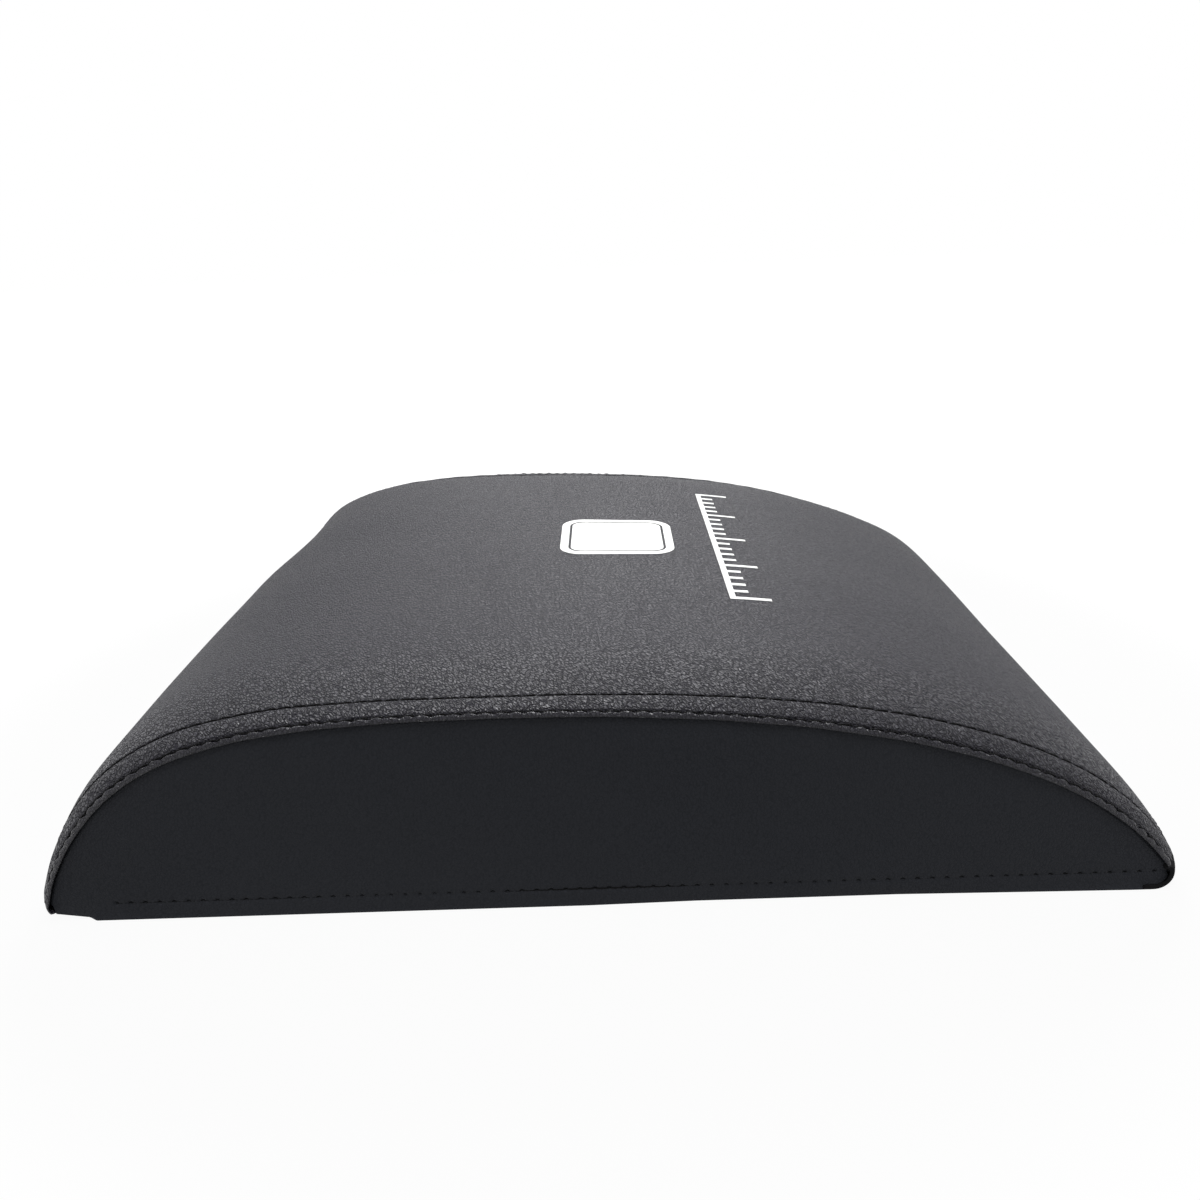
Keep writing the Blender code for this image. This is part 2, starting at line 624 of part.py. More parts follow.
def print_sheet(stations, columns):
    """Return a thin print over the arch from columns, each a distance along and its places across."""
    grids = []
    for depth in (-GAP - PRINT, -GAP):
        grids.append([[surface_point(stations, x, y, depth) for y in places] for x, places in columns])
    return shell(*grids)


def print_cells(stations, runs, places, filled):
    """Return a thin print over the arch from the filled cells of a grid of runs along and places across."""
    bm = bmesh.new()
    top, under = [
        [[bm.verts.new(surface_point(stations, x, y, depth)) for y in places] for x in runs]
        for depth in (-GAP - PRINT, -GAP)
    ]
    for i, j in sorted(filled):
        square = [(i, j), (i, j + 1), (i + 1, j + 1), (i + 1, j)]
        beside = [(i - 1, j), (i, j + 1), (i + 1, j), (i, j - 1)]
        for grid in (top, under):
            bm.faces.new([grid[m][n] for m, n in square])
        for (m, n), (p, q), other in zip(square, square[1:] + square[:1], beside):
            if other not in filled:
                bm.faces.new((top[m][n], top[p][q], under[p][q], under[m][n]))
    loose = [vertex for vertex in bm.verts if not vertex.link_faces]
    bmesh.ops.delete(bm, geom=loose, context="VERTS")
    return close_mesh(bm)


def add_patch(stations, ink):
    """Print the plain soft-cornered square over the crest."""
    half, corner = PATCH_SIDE / 2, PATCH_CORNER
    runs = [half - corner + corner * math.sin(math.radians(a)) for a in (90, 60, 30, 0)]
    runs += [(half - corner) * share for share in (0.5, 0.0)]
    runs = [-run for run in runs] + [run for run in reversed(runs[:-1])]
    columns = []
    for run in runs:
        into = max(abs(run) - (half - corner), 0.0)
        reach = half - corner + math.sqrt(max(corner * corner - into * into, 0.0))
        columns.append((PATCH_AT + run, [PATCH_ACROSS - reach, PATCH_ACROSS, PATCH_ACROSS + reach]))
    add_object("print_patch", print_sheet(stations, columns), ink)


def add_scale(stations, ink):
    """Print the plain tick scale: one long line with evenly spaced ticks, every fifth one longer."""
    start = SCALE_ACROSS - SCALE_LENGTH / 2
    pitch = (SCALE_LENGTH - SCALE_LINE) / SCALE_STEPS
    runs = [SCALE_AT + reach for reach in (0.0, SCALE_LINE, SCALE_TICK, SCALE_LONG_TICK)]
    places = []
    for k in range(SCALE_STEPS + 1):
        places += [start + k * pitch, start + k * pitch + SCALE_LINE]
    filled = {(0, j) for j in range(len(places) - 1)}
    for k in range(SCALE_STEPS + 1):
        reach = 3 if k % SCALE_LONG_EVERY == 0 else 2
        filled |= {(i, 2 * k) for i in range(reach)}
    add_object("print_scale", print_cells(stations, runs, places, filled), ink)


def centre_on_origin():
    """Move everything along X so that the whole mat is centred over the origin."""
    meshes = [thing for thing in bpy.data.objects if thing.type == "MESH"]
    places = [thing.location.x + vertex.co.x for thing in meshes for vertex in thing.data.vertices]
    middle = (min(places) + max(places)) / 2
    for thing in bpy.data.objects:
        thing.location.x -= middle


def main():
    """Build every piece of the mat."""
    for thing in list(bpy.data.objects):
        bpy.data.objects.remove(thing)
    leather = add_material("artificial_leather", (0.016, 0.017, 0.018), 0.55)
    side_leather = add_material("side_leather", (0.009, 0.009, 0.010), 0.6)
    rubber = add_material("base_sheet", (0.012, 0.012, 0.013), 0.85)
    foam = add_material("moulded_foam", (0.20, 0.20, 0.21), 0.9)
    yarn = add_material("sewing_thread", (0.004, 0.004, 0.004), 0.7)
    ink = add_material("screen_print", (0.84, 0.84, 0.83), 0.5)
    tape = add_material("zip_tape", (0.010, 0.010, 0.010), 0.9)
    plastic = add_material("zip_plastic", (0.014, 0.014, 0.015), 0.4)
    metal = add_material("zip_metal", (0.05, 0.05, 0.052), 0.35, 0.9)
    stations = arch_stations()
    add_top_panel(stations, leather)
    add_side_panel("side_panel_front", -1, stations, side_leather)
    add_side_panel("side_panel_rear", 1, stations, side_leather)
    add_base_panel(stations, rubber)
    add_foam_core(stations, foam)
    add_cover_threads(stations, yarn)
    add_base_threads(yarn)
    add_zip_tapes(tape, plastic)
    add_slider(metal)
    add_pull_tab(metal)
    add_patch(stations, ink)
    add_scale(stations, ink)
    centre_on_origin()


main()
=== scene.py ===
"""Studio picture of an ab mat: a moulded foam core in a sewn cover of artificial leather.

The tall end points along -X, the thin end along +X, and the front side panel faces -Y.
Lengths are in metres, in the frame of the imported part.
"""

import logging
import math
from collections.abc import Callable
from dataclasses import dataclass, field
from enum import Enum

import bpy
import numpy as np
from mathutils import Matrix, Vector

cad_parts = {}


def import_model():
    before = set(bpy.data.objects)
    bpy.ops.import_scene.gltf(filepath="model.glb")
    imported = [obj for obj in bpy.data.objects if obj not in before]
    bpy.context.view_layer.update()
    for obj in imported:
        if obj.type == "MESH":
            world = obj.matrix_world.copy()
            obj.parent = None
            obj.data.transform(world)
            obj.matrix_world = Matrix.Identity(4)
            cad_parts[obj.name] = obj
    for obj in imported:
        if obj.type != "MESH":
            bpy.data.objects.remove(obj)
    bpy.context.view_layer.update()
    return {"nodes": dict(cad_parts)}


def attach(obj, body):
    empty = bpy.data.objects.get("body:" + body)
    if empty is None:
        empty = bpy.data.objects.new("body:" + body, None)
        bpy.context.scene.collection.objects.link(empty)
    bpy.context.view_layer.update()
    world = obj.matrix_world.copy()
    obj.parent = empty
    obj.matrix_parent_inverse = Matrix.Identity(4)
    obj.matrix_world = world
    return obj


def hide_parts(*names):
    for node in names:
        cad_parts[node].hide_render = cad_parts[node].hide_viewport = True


log = logging.getLogger("ab_mat")

MM = 0.001

# Gives a row's points for distances along it and lifts off it.
Place = Callable[[np.ndarray, np.ndarray], np.ndarray]


class Side(Enum):
    """The two long sides of the mat, by the sign of Y."""

    FRONT = -1
    REAR = 1

    @property
    def seed(self) -> int:
        """Seed of what is uneven along this side."""
        return 11 if self is Side.FRONT else 12


class Body(Enum):
    """The part's moving bodies."""

    MAT = "mat"
    SLIDER = "slider"
    TAB = "pull_tab"


@dataclass(frozen=True)
class Sizes:
    """Sizes that the cover, its seams and what lies beside them share.

    The x places count from the foot of the tall end's seam, which foot_x puts in the part's frame.
    """

    foot_x: float = -0.180579
    # Half widths: the cover at its fold, the room inside, and a side panel's two faces.
    half_width: float = 0.1480
    inside_half: float = 0.1453
    side_outer: float = 0.1468
    side_inner: float = 0.1456
    # The cover: one layer, the folded hem, and how far the hem reaches in.
    panel: float = 0.0007
    hem: float = 0.00125
    hem_width: float = 0.0116
    # A side panel's seam allowance: its depth under the cover, its bend and its width.
    flange_depth: float = 0.0015
    side_bend: float = 0.0010
    flange_width: float = 0.0114
    # The floor sheet, and the level and edges of the two hems beside the zip.
    base_sheet: float = 0.0016
    hem_level: float = 0.0034
    tail_edge: float = 0.0062
    base_edge: float = 0.0152
    # The nose: the x and height of its centre, its reach, its half width and its rim.
    nose_at: float = 0.3559
    nose_level: float = 0.0056
    nose_reach: float = 0.00575
    nose_rim: float = 0.1481
    rim_width: float = 0.0013
    # The cover stops short of the tip, and swells in from its edge over a run.
    cover_short: float = 0.0042
    swell_run: float = 0.0109
    # The rear seam's own arch takes over from this far in front of the middle, over this run.
    rear_from: float = 0.0600
    rear_run: float = 0.1600
    # Rows of stitches: two in from the fold, one above the floor, one across the thin end.
    edge_row: float = 0.0017
    inner_row: float = 0.0100
    base_row: float = 0.0060
    base_from: float = -0.1584
    base_length: float = 0.3384
    end_half: float = 0.1352
    # A stitch, its thread, its needle hole, and how the inner row lags and both rows wander.
    stitch: float = 0.0047
    thread: float = 0.00066
    hole: float = 0.0006
    lag: float = 0.37
    wander: float = 0.00016
    wander_run: float = 0.0310
    gap: float = 0.0003


MAT = Sizes()


def srgb(code: str) -> tuple[float, float, float, float]:
    """Turn an sRGB hex colour into linear values.

    Args:
        code: the colour as "#rrggbb".

    Returns:
        Linear red, green and blue with an alpha of 1.
    """
    values = [int(code[k : k + 2], 16) / 255 for k in (1, 3, 5)]
    linear = [v / 12.92 if v <= 0.04045 else ((v + 0.055) / 1.055) ** 2.4 for v in values]
    return (*linear, 1.0)


def smooth(value: np.ndarray) -> np.ndarray:
    """Ease values from 0 to 1, with those outside held at the ends."""
    held = np.clip(value, 0.0, 1.0)
    return held * held * (3 - 2 * held)


def bell(away: np.ndarray) -> np.ndarray:
    """Give 1 at 0, and fall off to either side like a bell."""
    return np.exp(-(away**2))


def ripple(seed: int, *places: np.ndarray) -> np.ndarray:
    """Make smooth unevenness with a wavelength of about 1 from a seeded sum of waves.

    Args:
        seed: picks the pattern.
        places: coordinates in wavelengths, which broadcast against each other.

    Returns:
        Values mostly between -1 and 1.
    """
    picks = np.random.default_rng(seed)
    total = 0.0
    for _ in range(7):
        heading = picks.normal(size=len(places))
        heading *= picks.uniform(0.6, 1.5) / np.linalg.norm(heading)
        phase = picks.uniform(0, math.tau)
        total = total + np.sin(math.tau * sum(h * p for h, p in zip(heading, places)) + phase)
    return total / 3.2


def rounded(
    distance: np.ndarray, radius: np.ndarray | float, across: np.ndarray | float = 1.0
) -> np.ndarray:
    """Give the depth that rounds a sheet's edge over, at a distance in from it.

    Args:
        distance: distance in from the edge.
        radius: the radius of the rounding.
        across: distance in from a second edge, for a corner.

    Returns:
        Depth below the sheet's face.
    """
    a = np.clip(radius - distance, 0.0, None)
    b = np.clip(radius - across, 0.0, None)
    return radius - np.sqrt(np.clip(radius * radius - a * a - b * b, 0.0, None))


@dataclass
class Arch:
    """The seam's arch seen from the front, and how the cover swells beyond it."""

    # The seam's curve, from its foot over its crest to its tip, as x and height, with its slopes
    # at the ends and how far each end of its two halves pulls.
    foot: tuple[float, float] = (0.0, 0.0070)
    foot_slope: float = math.radians(67.3)
    foot_pull: float = 0.0595
    crest: tuple[float, float] = (0.1494, 0.0698)
    crest_pull_tall: float = 0.0884
    crest_pull_thin: float = 0.0865
    tip: tuple[float, float] = (0.3626, 0.0052)
    tip_slope: float = math.radians(57.7)
    tip_pull: float = 0.0606
    # How far the cover's middle swells beyond the seam, and the height over which the swell lifts.
    swell_tall: float = 0.0092
    swell_crest: float = 0.0028
    swell_thin: float = 0.0083
    lift_run: float = 0.0120
    # Where the swollen cover carries its seams out near the tall end, and by how much, in mm.
    seam_at: tuple[float, ...] = (0.0, 4, 10, 16, 22, 28, 36)
    seam_by: tuple[float, ...] = (0.0, 0.4, 0.7, 0.55, 0.4, 0.2, 0.0)
    # How much less the cover swells there, as a share of that.
    carried: float = 1.6
    # How far the rear seam's arch stands off the front's, in mm.
    rear_at: tuple[float, ...] = (
        0, 18, 32, 45, 59, 81, 126, 166, 203, 252, 292, 325, 353, 377, 406,
    )
    rear_by: tuple[float, ...] = (
        0, -1.2, -1.9, -0.4, 2.2, 2.3, 2.6, 2.2, 1.1, 0, -1.2, -2.4, -1.6, 0.8, 0,
    )
    samples: int = 900
    along: np.ndarray = field(init=False)
    table: np.ndarray = field(init=False)

    def __post_init__(self) -> None:
        """Tabulate the arch by the distance along it."""
        foot, crest, tip = (np.array(point) for point in (self.foot, self.crest, self.tip))
        rise = self.foot_pull * np.array([math.cos(self.foot_slope), math.sin(self.foot_slope)])
        fall = self.tip_pull * np.array([-math.cos(self.tip_slope), math.sin(self.tip_slope)])
        tall = (foot, foot + rise, crest - (self.crest_pull_tall, 0), crest)
        thin = (crest, crest + (self.crest_pull_thin, 0), tip + fall, tip)
        tall_half = self.half(tall, foot, self.swell_tall)
        self.table = np.vstack([tall_half[:-1], self.half(thin, tip, self.swell_thin)])
        steps = np.linalg.norm(np.diff(self.table[:, :2], axis=0), axis=1)
        self.along = np.concatenate([[0.0], np.cumsum(steps)])
        out = self.eased(self.seam_at, self.seam_by, 4)[:, None] * self.table[:, 2:4]
        self.table[:, :2] += out
        self.table[:, 4:6] -= self.carried * out
        self.table = np.column_stack([self.table, self.eased(self.rear_at, self.rear_by, 14)])

    def eased(self, at: tuple[float, ...], by: tuple[float, ...], reach: int) -> np.ndarray:
        """Ease a few measured offsets along the arch.

        Args:
            at: distances along the arch in millimetres.
            by: the offsets there in millimetres.
            reach: how far the easing reaches to either side, in millimetres.

        Returns:
            Offsets in metres, one for each row of the table.
        """
        places = np.arange(0, round(self.length / MM) + 1)
        window = np.hanning(2 * reach + 1)
        offsets = np.pad(np.interp(places, at, by), reach, mode="edge")
        offsets = np.convolve(offsets, window / window.sum(), mode="valid")
        return np.interp(self.along / MM, places, offsets) * MM

    def half(self, curve: tuple, end: np.ndarray, end_swell: float) -> np.ndarray:
        """Sample one half of the arch.

        Args:
            curve: the four points of its cubic curve.
            end: its outer end.
            end_swell: the swell at that end.

        Returns:
            Rows of x, z, the outward normal and the full swell.
        """
        t = np.linspace(0, 1, self.samples)[:, None]
        s = 1 - t
        a, b, c, d = curve
        point = a * s**3 + b * 3 * s * s * t + c * 3 * s * t * t + d * t**3
        tangent = (b - a) * s * s + (c - b) * 2 * s * t + (d - c) * t * t
        tangent /= np.linalg.norm(tangent, axis=1, keepdims=True)
        share = np.abs(point[:, 0] - self.crest[0]) / abs(end[0] - self.crest[0])
        swell = self.swell_crest + (end_swell - self.swell_crest) * smooth(share)
        lift = 1 - np.exp(-(point[:, 1] - end[1]) / self.lift_run)
        normal = np.column_stack([-tangent[:, 1], tangent[:, 0]])
        return np.column_stack([point, normal, normal[:, 0] * swell, normal[:, 1] * swell * lift])

    @property
    def length(self) -> float:
        """Length of the arch from the foot to the tip."""
        return float(self.along[-1])

    @property
    def seam(self) -> float:
        """Length of the cover's seam, which ends a little short of the tip."""
        return self.length - MAT.cover_short

    def course(self, along: np.ndarray) -> np.ndarray:
        """Look the arch up at distances along it.

        Args:
            along: the distances from its foot.

        Returns:
            Rows of x, z, outward normal, swell, rear stand, and a tuck of 0.
        """
        rows = [np.interp(along, self.along, column) for column in self.table.T]
        return np.column_stack([*rows, np.zeros_like(rows[0])])


def lay(course: np.ndarray, y: np.ndarray, depth: np.ndarray | float) -> np.ndarray:
    """Put points over the cover's outer surface.

    Args:
        course: rows of x, z, outward normal, swell, rear stand and tuck, one for each place along.
        y: places across, which broadcast against the rows.
        depth: depth below the surface.

    Returns:
        Points in the part's frame, by place along and place across.
    """
    columns = (column[:, None] for column in course.T)
    x, z, normal_x, normal_z, swell_x, swell_z, rear, tuck = columns
    share = 1 - np.exp(-np.clip(MAT.half_width - np.abs(y), 0, None) / MAT.swell_run)
    depth = depth - rear * smooth((y + MAT.rear_from) / MAT.rear_run)
    over_x = x + swell_x * share - normal_x * depth + MAT.foot_x
    over_z = z + swell_z * share - normal_z * depth
    side = y * (1 - tuck * (1 - MAT.inside_half / MAT.half_width))
    return np.stack(np.broadcast_arrays(over_x, side, over_z), axis=-1)


class Shop:
    """Makes meshes from arrays of points and adds them to the mat."""

    @staticmethod
    def quads(rows: int, columns: int, start: int = 0, closed: bool = False) -> np.ndarray:
        """Index the faces of a grid of points.

        Args:
            rows: number of rows.
            columns: number of points in a row.
            start: index of the first point.
            closed: whether each row is a ring.

        Returns:
            Faces, four indices each.
        """
        spans = columns if closed else columns - 1
        row, column = np.meshgrid(np.arange(rows - 1), np.arange(spans), indexing="ij")
        near, far = row * columns, (row + 1) * columns
        following = (column + 1) % columns
        faces = np.stack([near + column, near + following, far + following, far + column], axis=-1)
        return faces.reshape(-1, 4) + start

    @classmethod
    def sheet(cls, outer: np.ndarray, inner: np.ndarray) -> tuple[np.ndarray, list]:
        """Close two grids of points into a sheet with thickness.

        Args:
            outer: points of its outer face.
            inner: points of its inner face, as many.

        Returns:
            Points and faces.
        """
        rows, columns = outer.shape[:2]
        total = rows * columns
        index = np.arange(total).reshape(rows, columns)
        sides = (index[0, :-1], index[:-1, -1], index[-1, :0:-1], index[:0:-1, 0])
        rim = np.concatenate(sides)
        following = np.roll(rim, -1)
        border = np.stack([following, rim, rim + total, following + total], axis=-1)
        faces = [cls.quads(rows, columns), cls.quads(rows, columns, total)[:, ::-1], border]
        points = np.concatenate([outer.reshape(-1, 3), inner.reshape(-1, 3)])
        return cls.outward(points, np.concatenate(faces).tolist())

    @classmethod
    def loft(cls, rings: np.ndarray) -> tuple[np.ndarray, list]:
        """Join rings of points and cap the first and the last.

        Args:
            rings: points by ring and place in the ring.

        Returns:
            Points and faces.
        """
        count, size = rings.shape[:2]
        faces = cls.quads(count, size, closed=True).tolist()
        faces += [list(range(size))[::-1], list(range((count - 1) * size, count * size))]
        return cls.outward(rings.reshape(-1, 3), faces)

    @staticmethod
    def outward(points: np.ndarray, faces: list) -> tuple[np.ndarray, list]:
        """Turn the faces of a closed shape to look outward.

        Args:
            points: its points.
            faces: its faces, all turned the same way.

        Returns:
            Points and faces.
        """
        fans = np.array([(face[0], *pair) for face in faces for pair in zip(face[1:], face[2:])])
        first, second, third = points[fans].transpose(1, 0, 2)
        if (first * np.cross(second, third)).sum() < 0:
            faces = [face[::-1] for face in faces]
        return points, faces

    @staticmethod
    def merge(parts: list[tuple[np.ndarray, list]]) -> tuple[np.ndarray, list]:
        """Put several sets of points and faces into one.

        Args:
            parts: the sets.

        Returns:
            Points and faces.
        """
        points, faces, start = [], [], 0
        for places, sides in parts:
            points.append(places)
            faces += [[start + k for k in side] for side in sides]
            start += len(places)
        return np.concatenate(points), faces

    @staticmethod
    def add(
        name: str, shape: tuple[np.ndarray, list], finish: bpy.types.Material, sharp: float = 60
    ) -> bpy.types.Object:
        """Add a mesh to the scene with its finish and smooth shading.

        Args:
            name: name of the piece.
            shape: its points and faces.
            finish: its material.
            sharp: angle in degrees from which an edge stays sharp.

        Returns:
            The new object.
        """
        points, faces = shape
        mesh = bpy.data.meshes.new(name)
        mesh.from_pydata(points.tolist(), [], faces)
        mesh.materials.append(finish)
        mesh.shade_smooth()
        mesh.set_sharp_from_angle(angle=math.radians(sharp))
        piece = bpy.data.objects.new(name, mesh)
        bpy.context.scene.collection.objects.link(piece)
        return piece

    @staticmethod
    def dress(piece: bpy.types.Object, body: Body, slot: str, *nodes: str) -> None:
        """Let a piece ride on a body and stand for the part's nodes.

        Args:
            piece: the piece.
            body: the body that carries it.
            slot: the material slot that its finish belongs to; not used.
            nodes: names of the nodes that it replaces.
        """
        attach(piece, body.value)
        if nodes:
            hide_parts(*nodes)
        log.info("%s: %d faces, rides on %s", piece.name, len(piece.data.polygons), body.value)


def feed(node: bpy.types.Node, inputs: dict[str | int, object]) -> None:
    """Set a shader node's values and links.

    Args:
        node: the node.
        inputs: by socket name or number, a value, or the output that feeds it. A node there feeds
            it from its first output.
    """
    for socket, value in inputs.items():
        source = value.outputs[0] if isinstance(value, bpy.types.Node) else value
        if isinstance(source, bpy.types.NodeSocket):
            node.id_data.links.new(source, node.inputs[socket])
        else:
            node.inputs[socket].default_value = source


def add_node(
    tree: bpy.types.NodeTree, kind: str, inputs: dict[str | int, object], **settings: object
) -> bpy.types.Node:
    """Add a shader node with its settings, values and links.

    Args:
        tree: the node tree.
        kind: the node's type name.
        inputs: what its sockets get, as in feed.
        settings: the node's own settings.

    Returns:
        The new node.
    """
    node = tree.nodes.new(kind)
    for name, value in settings.items():
        setattr(node, name, value)
    feed(node, inputs)
    return node


@dataclass(frozen=True)
class Finish:
    """What every finish has: its name, its colour and how it takes the light."""

    name: str
    colour: str
    roughness: float
    specular: float = 0.5

    def start(
        self,
    ) -> tuple[bpy.types.Material, bpy.types.NodeTree, bpy.types.Node, bpy.types.NodeSocket]:
        """Make the material with its constant values set on the shader.

        Returns:
            The material, its node tree, its shader, and the place on the piece in metres.
        """
        material = bpy.data.materials.new(self.name)
        material.use_nodes = True
        tree = material.node_tree
        shader = tree.nodes["Principled BSDF"]
        constants = {
            "Base Color": srgb(self.colour),
            "Roughness": self.roughness,
            "Specular IOR Level": self.specular,
        }
        feed(shader, constants)
        place = add_node(tree, "ShaderNodeTexCoord", {}).outputs["Object"]
        return material, tree, shader, place


@dataclass(frozen=True)
class ArtificialLeather(Finish):
    """Polyurethane skin on a knitted back, embossed by a roller and rolled matt.

    The roller leaves soft pebbles with slanting creases between them, which break the light into a
    fine grain where it comes in low. The creases stay matt, the pebbles' tops are worn a little
    smoother, and handling leaves the whole slightly patchy. Shade is painted into the creases as a
    darker colour and light onto the pebbles' tops as a lighter one, most of all beside the front
    seam. The front seam draws the skin together, so its grain stands higher and crisper there, and
    the fold at the edge stretches it smooth and a little shiny. A few pale specks of lint lie on
    it.
    """

    # The lighter colour is painted light on the pebbles' tops, scaled by the wear noise.
    lighter: str = "#343437"
    # Real pebbles are about 0.7 mm wide, too fine to show here, so they are drawn at 1.15 mm.
    grain: float = 1.15 * MM
    lean: float = math.radians(-58)
    stretch: tuple[float, float, float] = (2.2, 0.75, 1.0)
    crease: float = 0.8 * MM
    # Slow bends in the rows of pebbles: their size and how far they shift the rows.
    bend_size: float = 2.6 * MM
    bend_by: float = 1.6 * MM
    relief: float = 0.45 * MM
    # Beside the front seam: where it starts and is full, how many times higher the grain stands,
    # and how much rougher its creases are than its tops.
    drawn_from: float = -0.092
    drawn_full: float = -0.140
    gathered: float = 1.0
    crisp: float = 0.0
    # How much smoother the stretched fold is.
    stretched: float = 0.0
    wear_size: float = 55 * MM
    # Lint: a speck's radius as a share of the spacing, the spacing, and the share of places bare.
    lint: float = 0.0
    lint_spacing: float = 16 * MM
    lint_bare: float = 0.82

    def build(self) -> bpy.types.Material:
        """Make the material.

        Returns:
            The material.
        """
        material, tree, shader, place = self.start()
        pebble, height = self.embossed(tree, place)
        drawn, fold = self.pulled(tree, place)
        higher = {0: drawn, 1: self.gathered - 1, 2: 1.0}
        swell = add_node(tree, "ShaderNodeMath", higher, operation="MULTIPLY_ADD")
        stand = add_node(tree, "ShaderNodeMath", {0: height, 1: swell}, operation="MULTIPLY")
        bump = add_node(tree, "ShaderNodeBump", {"Height": stand, "Distance": self.relief})
        handled = {"Vector": place, "Scale": 1 / self.wear_size, "Detail": 4}
        wear = add_node(tree, "ShaderNodeTexNoise", handled)

        # Painted shade and light: the skin is painted darker in the creases and lighter on the
        # pebbles' tops, by as much as the slow wear noise gives, and lighter still on the tops
        # beside the seam.
        raised = {0: height, 1: 0.9, 2: -0.25}
        tops = add_node(tree, "ShaderNodeMath", raised, operation="MULTIPLY_ADD")
        seam_painted_highlight = add_node(tree, "ShaderNodeMath", {0: drawn, 1: pebble}, operation="MULTIPLY")
        wear_and_painted_shade = {0: wear, 1: tops, 2: seam_painted_highlight}
        share = add_node(tree, "ShaderNodeMath", wear_and_painted_shade, operation="MULTIPLY_ADD")
        shades = {"Factor": share, "A": srgb(self.colour), "B": srgb(self.lighter)}
        colour = add_node(tree, "ShaderNodeMix", shades, data_type="RGBA").outputs["Result"]
        if self.lint:
            colour = self.dust(tree, place, colour)

        # Tops are smoother than creases, rubbed patches rougher, the stretched fold shinier.
        low = add_node(tree, "ShaderNodeMath", {0: 0.63, 1: height}, operation="SUBTRACT")
        matt = add_node(tree, "ShaderNodeMath", {0: drawn, 1: low}, operation="MULTIPLY")
        rough = self.roughness + 0.10
        effects = ((height, -0.12), (wear, 0.10), (fold, -self.stretched), (matt, self.crisp))
        for source, amount in effects:
            more = {0: source, 1: amount, 2: rough}
            rough = add_node(tree, "ShaderNodeMath", more, operation="MULTIPLY_ADD")
        feed(shader, {"Normal": bump, "Base Color": colour, "Roughness": rough})
        return material

    def embossed(
        self, tree: bpy.types.NodeTree, place: bpy.types.NodeSocket
    ) -> tuple[bpy.types.Node, bpy.types.Node]:
        """Draw the roller's slanting pebbles and the creases between them.

        Args:
            tree: the node tree.
            place: the place on the piece.

        Returns:
            The pebbles, from 0 in a crease to 1 on a top, and the height of the whole grain.
        """
        waves = {"Vector": place, "Scale": 1 / self.bend_size, "Detail": 2}
        bend = add_node(tree, "ShaderNodeTexNoise", waves).outputs["Color"]
        bent = {0: bend, 1: (self.bend_by,) * 3, 2: place}
        shift = add_node(tree, "ShaderNodeVectorMath", bent, operation="MULTIPLY_ADD")
        leaning = {"Vector": shift, "Rotation": (0, 0, self.lean), "Scale": self.stretch}
        slant = add_node(tree, "ShaderNodeMapping", leaning, vector_type="TEXTURE")
        pattern = {"Vector": slant, "Scale": 1 / self.grain}
        cells = add_node(tree, "ShaderNodeTexVoronoi", pattern, feature="DISTANCE_TO_EDGE")
        domed = {0: cells, 1: 0.0, 2: 0.20, 3: 0.0, 4: 1.0}
        pebble = add_node(tree, "ShaderNodeMapRange", domed, interpolation_type="SMOOTHSTEP")
        wrinkled = {"Vector": slant, "Scale": 1 / self.crease, "Detail": 1}
        creases = add_node(tree, "ShaderNodeTexNoise", wrinkled)
        faint = add_node(tree, "ShaderNodeMath", {0: creases, 1: 0.5}, operation="MULTIPLY")
        both = {0: pebble, 1: 0.8, 2: faint}
        height = add_node(tree, "ShaderNodeMath", both, operation="MULTIPLY_ADD")
        return pebble, height

    def pulled(
        self, tree: bpy.types.NodeTree, place: bpy.types.NodeSocket
    ) -> tuple[bpy.types.Node, bpy.types.Node]:
        """Find where the front seam draws the skin together and where the edge's fold stretches it.

        Args:
            tree: the node tree.
            place: the place on the piece.

        Returns:
            The two shares, each from 0 to 1.
        """
        across = add_node(tree, "ShaderNodeSeparateXYZ", {0: place}).outputs["Y"]
        beside = {0: across, 1: self.drawn_from, 2: self.drawn_full, 3: 0.0, 4: 1.0}
        drawn = add_node(tree, "ShaderNodeMapRange", beside, interpolation_type="SMOOTHSTEP")
        from_middle = add_node(tree, "ShaderNodeMath", {0: across}, operation="ABSOLUTE")
        from_fold = {0: MAT.half_width, 1: from_middle}
        inset = add_node(tree, "ShaderNodeMath", from_fold, operation="SUBTRACT")
        outside = {0: inset, 1: MAT.edge_row + MM, 2: MAT.edge_row, 3: 0.0, 4: 1.0}
        fold = add_node(tree, "ShaderNodeMapRange", outside, interpolation_type="SMOOTHSTEP")
        unfolded = add_node(tree, "ShaderNodeMath", {0: 1.0, 1: fold}, operation="SUBTRACT")
        drawn = add_node(tree, "ShaderNodeMath", {0: drawn, 1: unfolded}, operation="MULTIPLY")
        return drawn, fold

    def dust(
        self, tree: bpy.types.NodeTree, place: bpy.types.NodeSocket, colour: bpy.types.NodeSocket
    ) -> bpy.types.NodeSocket:
        """Scatter a few pale specks of lint.

        Args:
            tree: the node tree.
            place: the place on the piece.
            colour: the colour of the skin.

        Returns:
            The colour with the specks on it.
        """
        scattered = {"Vector": place, "Scale": 1 / self.lint_spacing}
        spots = add_node(tree, "ShaderNodeTexVoronoi", scattered).outputs
        inside = {0: spots["Distance"], 1: self.lint}
        near = add_node(tree, "ShaderNodeMath", inside, operation="LESS_THAN")
        pick = add_node(tree, "ShaderNodeSeparateColor", {0: spots["Color"]})
        chance = {0: pick, 1: self.lint_bare}
        kept = add_node(tree, "ShaderNodeMath", chance, operation="GREATER_THAN")
        speck = add_node(tree, "ShaderNodeMath", {0: near, 1: kept}, operation="MULTIPLY")
        shades = {"Factor": speck, "A": colour, "B": srgb("#9b9b99")}
        return add_node(tree, "ShaderNodeMix", shades, data_type="RGBA").outputs["Result"]


